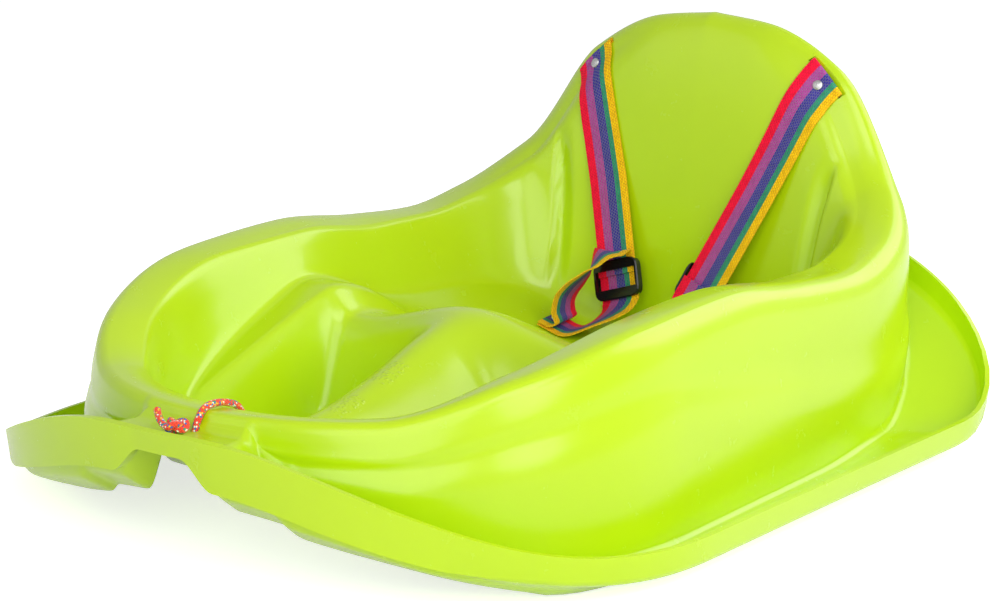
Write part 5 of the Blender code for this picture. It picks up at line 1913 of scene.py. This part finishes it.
def swept(stations, square_from):
    """Rows of a strap along a smooth line through the stations, each a place and a width direction.

    Past the station square_from the rows are turned square to the line.
    """
    rows = []
    last = len(stations) - 1
    for i in range(last):
        before, here, after, beyond = (stations[min(max(i + k, 0), last)] for k in (-1, 0, 1, 2))
        length = (after[0] - here[0]).length
        m0 = (after[0] - before[0]).normalized() * length
        m1 = (beyond[0] - here[0]).normalized() * length
        for k in range(STEPS_BETWEEN):
            t = k / STEPS_BETWEEN
            centre = hermite(here[0], m0, after[0], m1, t)
            way = hermite(here[0], m0, after[0], m1, t + LOOK_AHEAD) - centre
            square = min(1.0, max(0.0, (i + t - square_from) / SQUARE_RUN))
            rows.append(row_on(centre, way, here[1].lerp(after[1], t), square))
    square = min(1.0, max(0.0, last - square_from))
    rows.append(row_on(stations[-1][0], stations[-1][0] - stations[-2][0], stations[-1][1], square))
    return rows


def lower_rows(s, lift=0.0):
    """From the slider down to the seat, turned a quarter to lie under the rivet."""
    foot = s.slider + s.run * (SLIDER_HEIGHT / 2 + FOOT_BELOW)
    start = s.slider + s.run * (SLIDER_HEIGHT / 2 - START_WITHIN)
    flat = s.anchor + s.seat * (SEAT_GAP + HALF_THICK + RIVET_SPARE)
    beyond = flat + s.land * LAND_BEYOND
    touch = flat - s.land * LAND_BEFORE
    stations = [(start, s.across), (start.lerp(foot, START_SHARE), s.across)]
    for k in range(SLACK_STATIONS + 1):
        t = k / SLACK_STATIONS
        centre = hermite(foot, s.run * LEAVE_PULL, touch, s.land * LAND_PULL, t)
        stations.append((centre, s.across.lerp(s.seat_across, float(smooth(t)))))
    stations += [(flat, s.seat_across), (beyond, s.seat_across)]
    rows = swept(stations, SQUARE_FROM)[:-LAST_SWEPT]
    rows += [flat_row(flat, s.seat_across, s.seat), flat_row(beyond, s.seat_across, s.seat)]
    rows = [s.laid(row) for row in rows]
    return [[(point + n * lift, n) for point, n in row] for row in rows]


def strap_rows(s):
    """The whole strap, from the slot to a little past the lower rivet."""
    return upper_rows(s) + lower_rows(s)


print("lower run ends", LAND_BEYOND, "m beyond the rivet")

# %% [markdown]
# ## The tails
# The end of each strap comes back through the slider. On the left it lies on the
# strap's own lower run, so its rows are that run, lifted by a thickness. On the
# right it leaves the slider and hangs in a loose loop that has turned its edge to
# the front. Such a loop follows no rule, so its places were chosen from the
# picture, each with the turn that the strap has there.

# %% Tails
LAID_FROM = 6
LAID_EASED = 6
LAID_LIFT = 0.0004
BAR_BEFORE = 0.0026
BAR_BEYOND = 0.004
BAR_END = 0.0006
# Above the slider's middle and ahead of the strap, where the loop leaves it
LOOP_LEAVES = (
    (SLIDER_MIDDLE / 2 + 0.001, 0),
    (SLIDER_HEIGHT / 2 - 0.004, 0),
    (SLIDER_HEIGHT / 2 + 0.0012, 0.0001),
    (SLIDER_HEIGHT / 2 + 0.0042, 0.0022),
)
# The loose loop on the right: places from the slider, to the side, to the front
# and up, and how far the strap's width has turned from sideways to the front
LOOP_PLACES = (
    (0.0035, 0.007, 0.020),
    (0.0045, 0.0135, 0.0195),
    (0.007, 0.018, 0.014),
    (0.0105, 0.022, 0.007),
    (0.018, 0.025, -0.001),
    (0.0245, 0.028, -0.0105),
    (0.0247, 0.030, -0.0205),
)
LOOP_TURNS = (15, 34, 48, 62, 75, 82, 88)
LOOP_TILT = 0.3
TILT_FROM = 45
TILT_FROM_RUN = 20
TILT_UNTIL = 94
TILT_UNTIL_RUN = 14
# Along and above the seat, where the loop lands under the rivet
LOOP_LANDS = ((-0.0072, 0.0046), (-0.0048, 0.0013), (-0.0020, 0.0), (0.0, 0.0), (LAND_BEYOND, 0.0))
LOOP_SPARE = 0.0010


def laid_tail_rows(s):
    """A short length from the slider's middle bar, lying on the strap's lower run."""
    high = SLIDER_BACK + SEAT_GAP + HALF_THICK
    rows = []
    for distance in (-BAR_BEFORE, BAR_BEYOND, SLIDER_HEIGHT / 2 + BAR_END):
        rows.append(flat_row(s.slider + s.run * distance + s.front * high, s.across, s.front))
    lower = lower_rows(s, STRAP_THICK + SEAT_GAP)[LAID_FROM:]
    for k in range(LAID_EASED):
        lower[k] = [(point + n * LAID_LIFT * (LAID_EASED - k), n) for point, n in lower[k]]
    return rows + lower


def loose_tail_rows(s):
    """A length that leaves the slider behind its top bar and hangs in a loop down to the same rivet."""
    lift = STRAP_THICK + SEAT_GAP
    stations = []
    for high, ahead in LOOP_LEAVES:
        stations.append((s.slider - s.run * high + s.front * (lift + ahead), s.across))
    for (outward, ahead, up), turn in zip(LOOP_PLACES, LOOP_TURNS):
        centre = s.slider + Vector((s.side * outward, -ahead, up))
        angle = math.radians(turn)
        tilt_in = float(smooth((turn - TILT_FROM) / TILT_FROM_RUN))
        tilt = LOOP_TILT * tilt_in * float(smooth((TILT_UNTIL - turn) / TILT_UNTIL_RUN))
        stations.append((centre, Vector((math.cos(angle), s.side * math.sin(angle), tilt))))
    flat = s.anchor + s.seat * (2 * SEAT_GAP + STRAP_THICK * 1.5 + LOOP_SPARE)
    for along, up in LOOP_LANDS:
        stations.append((flat + s.land * along + s.seat * up, s.seat_across))
    return [[(point, -n) for point, n in row] for row in swept(stations, len(stations))]


print("the loose loop:", len(LOOP_PLACES), "places")

# %% [markdown]
# ## From rows to a band
# The rows are set where the shape needs them, too far apart for a smooth strap.
# They are made finer along the route and across it, and then closed to a band
# with a front, a back and thinner edges, as a woven edge has. The UV map holds
# real metres, so the weave keeps its size on a strap that bends.

# %% Band helpers
WEB_COLUMNS = 13
BAND_STEPS = 5
EVENING_ROUNDS = 3
EDGE_THICKNESS = 0.55


def face_out(bm):
    """Turns the faces of a closed body outwards."""
    bmesh.ops.recalc_face_normals(bm, faces=bm.faces)
    if bm.calc_volume(signed=True) < 0:
        bmesh.ops.reverse_faces(bm, faces=bm.faces)
    return bm


def evened(rows, s, first, last):
    """Takes the small steps out of the band between two rows and lays it on the shell again."""
    points = np.array([[tuple(p) for p, _ in row] for row in rows])
    for _ in range(EVENING_ROUNDS):
        neighbours = points[first - 1 : last - 1] + points[first + 1 : last + 1]
        points[first:last] = points[first:last] / 2 + neighbours / 4
    made = [[(Vector(p), n) for p, (_, n) in zip(line, row)] for line, row in zip(points, rows)]
    made[first:last] = [s.laid(row) for row in made[first:last]]
    return made


def lengths_of(vectors):
    """The length of each vector, as a column."""
    return np.linalg.norm(vectors, axis=1)[:, None]


def softened(rows):
    """The band's rows as arrays, finer along the route and rounded between the given ones."""
    points = np.array([[tuple(p) for p, _ in row] for row in rows])
    faces = np.array([[tuple(n) for _, n in row] for row in rows])
    made, turned_to = [], []
    last = len(points) - 1
    for i in range(last):
        p0, p1, p2, p3 = (points[min(max(i + k, 0), last)] for k in (-1, 0, 1, 2))
        length = lengths_of(p2 - p1)
        m1 = (p2 - p0) / np.maximum(lengths_of(p2 - p0), 1e-9) * length
        m2 = (p3 - p1) / np.maximum(lengths_of(p3 - p1), 1e-9) * length
        for k in range(BAND_STEPS):
            t = k / BAND_STEPS
            made.append(hermite(p1, m1, p2, m2, t))
            n = faces[i] * (1 - t) + faces[i + 1] * t
            turned_to.append(n / lengths_of(n))
    made.append(points[-1])
    turned_to.append(faces[-1])
    return np.array(made), np.array(turned_to)


def wider(values):
    """From the route's few columns to the band's many."""
    old = np.linspace(0, 1, values.shape[1])
    new = np.linspace(0, 1, WEB_COLUMNS)
    return np.stack([np.stack([np.interp(new, old, row[:, c]) for c in range(3)], axis=1) for row in values])


def band(rows):
    """A closed band with a UV map in metres, across and along, and its length."""
    points, normals = (wider(values) for values in softened(rows))
    middle = points[:, WEB_COLUMNS // 2]
    along = np.concatenate([[0], np.cumsum(np.linalg.norm(np.diff(middle, axis=0), axis=1))])
    across = np.linspace(0, STRAP_WIDTH, WEB_COLUMNS)
    edge = np.ones(WEB_COLUMNS)
    edge[0] = edge[-1] = EDGE_THICKNESS
    half = HALF_THICK * edge[None, :, None]
    bm = bmesh.new()
    uv = bm.loops.layers.uv.new("cloth")
    where = {}

    def add(layer):
        made = []
        for i, row in enumerate(layer):
            line = [bm.verts.new(p) for p in row]
            for k, v in enumerate(line):
                where[v] = (float(across[k]), float(along[i]))
            made.append(line)
        return made

    front, back = add(points + normals * half), add(points - normals * half)
    last = WEB_COLUMNS - 1
    for i in range(len(points) - 1):
        for k in range(last):
            bm.faces.new((front[i][k], front[i][k + 1], front[i + 1][k + 1], front[i + 1][k]))
            bm.faces.new((back[i][k], back[i + 1][k], back[i + 1][k + 1], back[i][k + 1]))
        bm.faces.new((front[i][0], front[i + 1][0], back[i + 1][0], back[i][0]))
        bm.faces.new((front[i][last], back[i][last], back[i + 1][last], front[i + 1][last]))
    for i in (0, len(points) - 1):
        for k in range(last):
            bm.faces.new((front[i][k], back[i][k], back[i][k + 1], front[i][k + 1]))
    face_out(bm)
    for face in bm.faces:
        for loop in face.loops:
            loop[uv].uv = where[loop.vert]
    return bm, float(along[-1])


print("bands of", WEB_COLUMNS, "columns,", BAND_STEPS, "rows for each given one")

# %% [markdown]
# ## Cuts in the sheet
# The straps pass through slots, the rivets and the cord through holes. The model
# cuts them too, so the sheet needs the same cuts to lie on it. A block for each
# slot and a round bar for each hole are set on the straps' own places, and they
# are taken out of the sheet once it is a piece.

# %% Cut helpers
SLOT_END_SPARE = 0.003
SLOT_SIDE_SPARE = 0.0018
SLOT_CUT_DEPTH = 0.016
RIVET_SHANK = 0.0016
RIVET_CLEAR = 0.0003
RIVET_BORE = RIVET_SHANK + RIVET_CLEAR
BORE_ABOVE = 0.006
RIVET_BORE_BELOW = 0.014
CORD_BORE_BELOW = 0.016
BORE_SIDES = 24
# The strap's row at the upper rivet, and each tail's row at the lower one, from its end
UPPER_RIVET_ROW = 5
LOWER_RIVET_ROWS = {"left": -2, "right": -3}


def place(bm, origin, x, y, z):
    """Moves a body to its origin, turned to the given axes."""
    turn = Matrix((x, y, z)).transposed().to_4x4()
    bmesh.ops.transform(bm, matrix=Matrix.Translation(origin) @ turn, verts=bm.verts)


def block(size):
    """A block of the given size about the middle."""
    bm = bmesh.new()
    bmesh.ops.create_cube(bm, size=1.0)
    bmesh.ops.scale(bm, vec=size, verts=bm.verts)
    return bm


def turned(profile):
    """A closed body turned about Z from (radius, height) points, which start and end on the axis."""
    bm = bmesh.new()
    rows = []
    angles = [2 * math.pi * k / BORE_SIDES for k in range(BORE_SIDES)]
    for r, h in profile:
        if r == 0:
            rows.append([bm.verts.new((0, 0, h))])
        else:
            rows.append([bm.verts.new((r * math.cos(a), r * math.sin(a), h)) for a in angles])
    for low, high in zip(rows, rows[1:]):
        for k in range(BORE_SIDES):
            n = (k + 1) % BORE_SIDES
            if len(low) == 1:
                bm.faces.new((low[0], high[n], high[k]))
            elif len(high) == 1:
                bm.faces.new((low[k], low[n], high[0]))
            else:
                bm.faces.new((low[k], low[n], high[n], high[k]))
    return face_out(bm)


def bore(radius, below):
    """A round bar from a little above its place down to a depth below it."""
    return turned([(0, BORE_ABOVE), (radius, BORE_ABOVE), (radius, -below), (0, -below)])


def strap_cuts(s, rows, low):
    """The slot's block and the bars of the two rivets; low is the middle of the tail at the seat."""
    slot = block((SLOT_LENGTH - SLOT_END_SPARE, SLOT_OPEN - SLOT_SIDE_SPARE, SLOT_CUT_DEPTH))
    place(slot, s.crest, *axes_of(s.up, s.along))
    middle, normal = rows[UPPER_RIVET_ROW][COLUMNS // 2]
    upper = (middle + normal * HALF_THICK, *axes_of(normal, s.along))
    lower = (low + s.seat * HALF_THICK, *axes_of(s.seat, s.seat_across))
    cuts = [slot]
    for at in (upper, lower):
        bar = bore(RIVET_BORE, RIVET_BORE_BELOW)
        place(bar, *at)
        cuts.append(bar)
    return cuts


def carve(piece, tools):
    """Cuts the closed bodies out of the piece and applies the cuts."""
    bpy.ops.object.select_all(action="DESELECT")
    bpy.context.view_layer.objects.active = piece
    piece.select_set(True)
    for tool in tools:
        mesh = bpy.data.meshes.new("cut")
        bmesh.ops.translate(tool, vec=(0.0, SETTLE, 0.0), verts=tool.verts)
        tool.to_mesh(mesh)
        tool.free()
        body = bpy.data.objects.new("cut", mesh)
        scene.collection.objects.link(body)
        step = piece.modifiers.new("cut", "BOOLEAN")
        step.object = body
        step.operation = "DIFFERENCE"
        step.solver = "EXACT"
        bpy.ops.object.modifier_apply(modifier=step.name)
        bpy.data.objects.remove(body, do_unlink=True)


print("rivet holes", round(2 * RIVET_BORE, 4), "m wide")

# %% [markdown]
# ## The straps and their tails
# A strap stays where it is, held by the slot and the rivets, so it rides on the
# sled. A tail is fixed at the seat and carried by the slider at its other end,
# and here its mesh is only baked where it lies.

# %% Webbing pieces
# The upper run is evened out from this row to a few rows before its end
EVEN_FROM = 5
EVEN_UNTIL = 2
WEB_SHARP = 60

sides = {"left": Side(tree, 1, LEFT_SLIDER_AT), "right": Side(tree, -1, RIGHT_SLIDER_AT)}
shell_tools = []
for name, s in sides.items():
    rows = strap_rows(s)
    even_rows = evened(rows, s, EVEN_FROM, len(upper_rows(s)) - EVEN_UNTIL)
    bm, length = band(even_rows)
    strap = add_piece("webbing_" + name, bm, WEBBING, WEB_SHARP)
    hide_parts("harness_strap_" + name)
    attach(strap, "sled")
    tail_rows = laid_tail_rows(s) if name == "left" else loose_tail_rows(s)
    bm, tail_length = band(tail_rows)
    tail = add_piece("webbing_tail_" + name, bm, WEBBING, WEB_SHARP)
    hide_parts("harness_tail_" + name)
    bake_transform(tail)
    low = tail_rows[LOWER_RIVET_ROWS[name]][COLUMNS // 2][0]
    shell_tools += strap_cuts(s, rows, low)
    print(name, "webbing", round(length, 3), "m, tail", round(tail_length, 3), "m")
for at in (knot_at, riser_at):
    bar = bore(CORD_HOLE / 2, CORD_BORE_BELOW)
    bmesh.ops.translate(bar, vec=at, verts=bar.verts)
    shell_tools.append(bar)
print("cuts:", len(shell_tools))

# %% [markdown]
# ## The shell as a piece
# The slots and the holes are cut through the finished sheet, and the piece then
# stands for the engineering model's shell. The cuts are applied one by one, so
# that each leaves a sound mesh for the next.

# %% Shell piece
SHELL_SHARP = 50

shell = add_piece("shell_moulding", shell_bm, LIME, SHELL_SHARP)
carve(shell, shell_tools)
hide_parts("sled_shell")
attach(shell, "sled")
print("shell piece", len(shell.data.polygons), "faces")

# %% [markdown]
# ## Buckles and rivets
# The sliders and rivets are small parts with plain faces, and the engineering
# model already has their form. A finer mesh would add little at this size, so
# they keep their own and only get a finish.

# %% Buckles and rivets
for name in ("left", "right"):
    for node, used in (("strap_slider_", BUCKLE), ("rivet_upper_", STEEL), ("rivet_lower_", STEEL)):
        mesh = nodes[node + name].data
        mesh.materials.clear()
        mesh.materials.append(used)
print("dressed", sorted(n for n in nodes if "slider" in n or "rivet" in n))
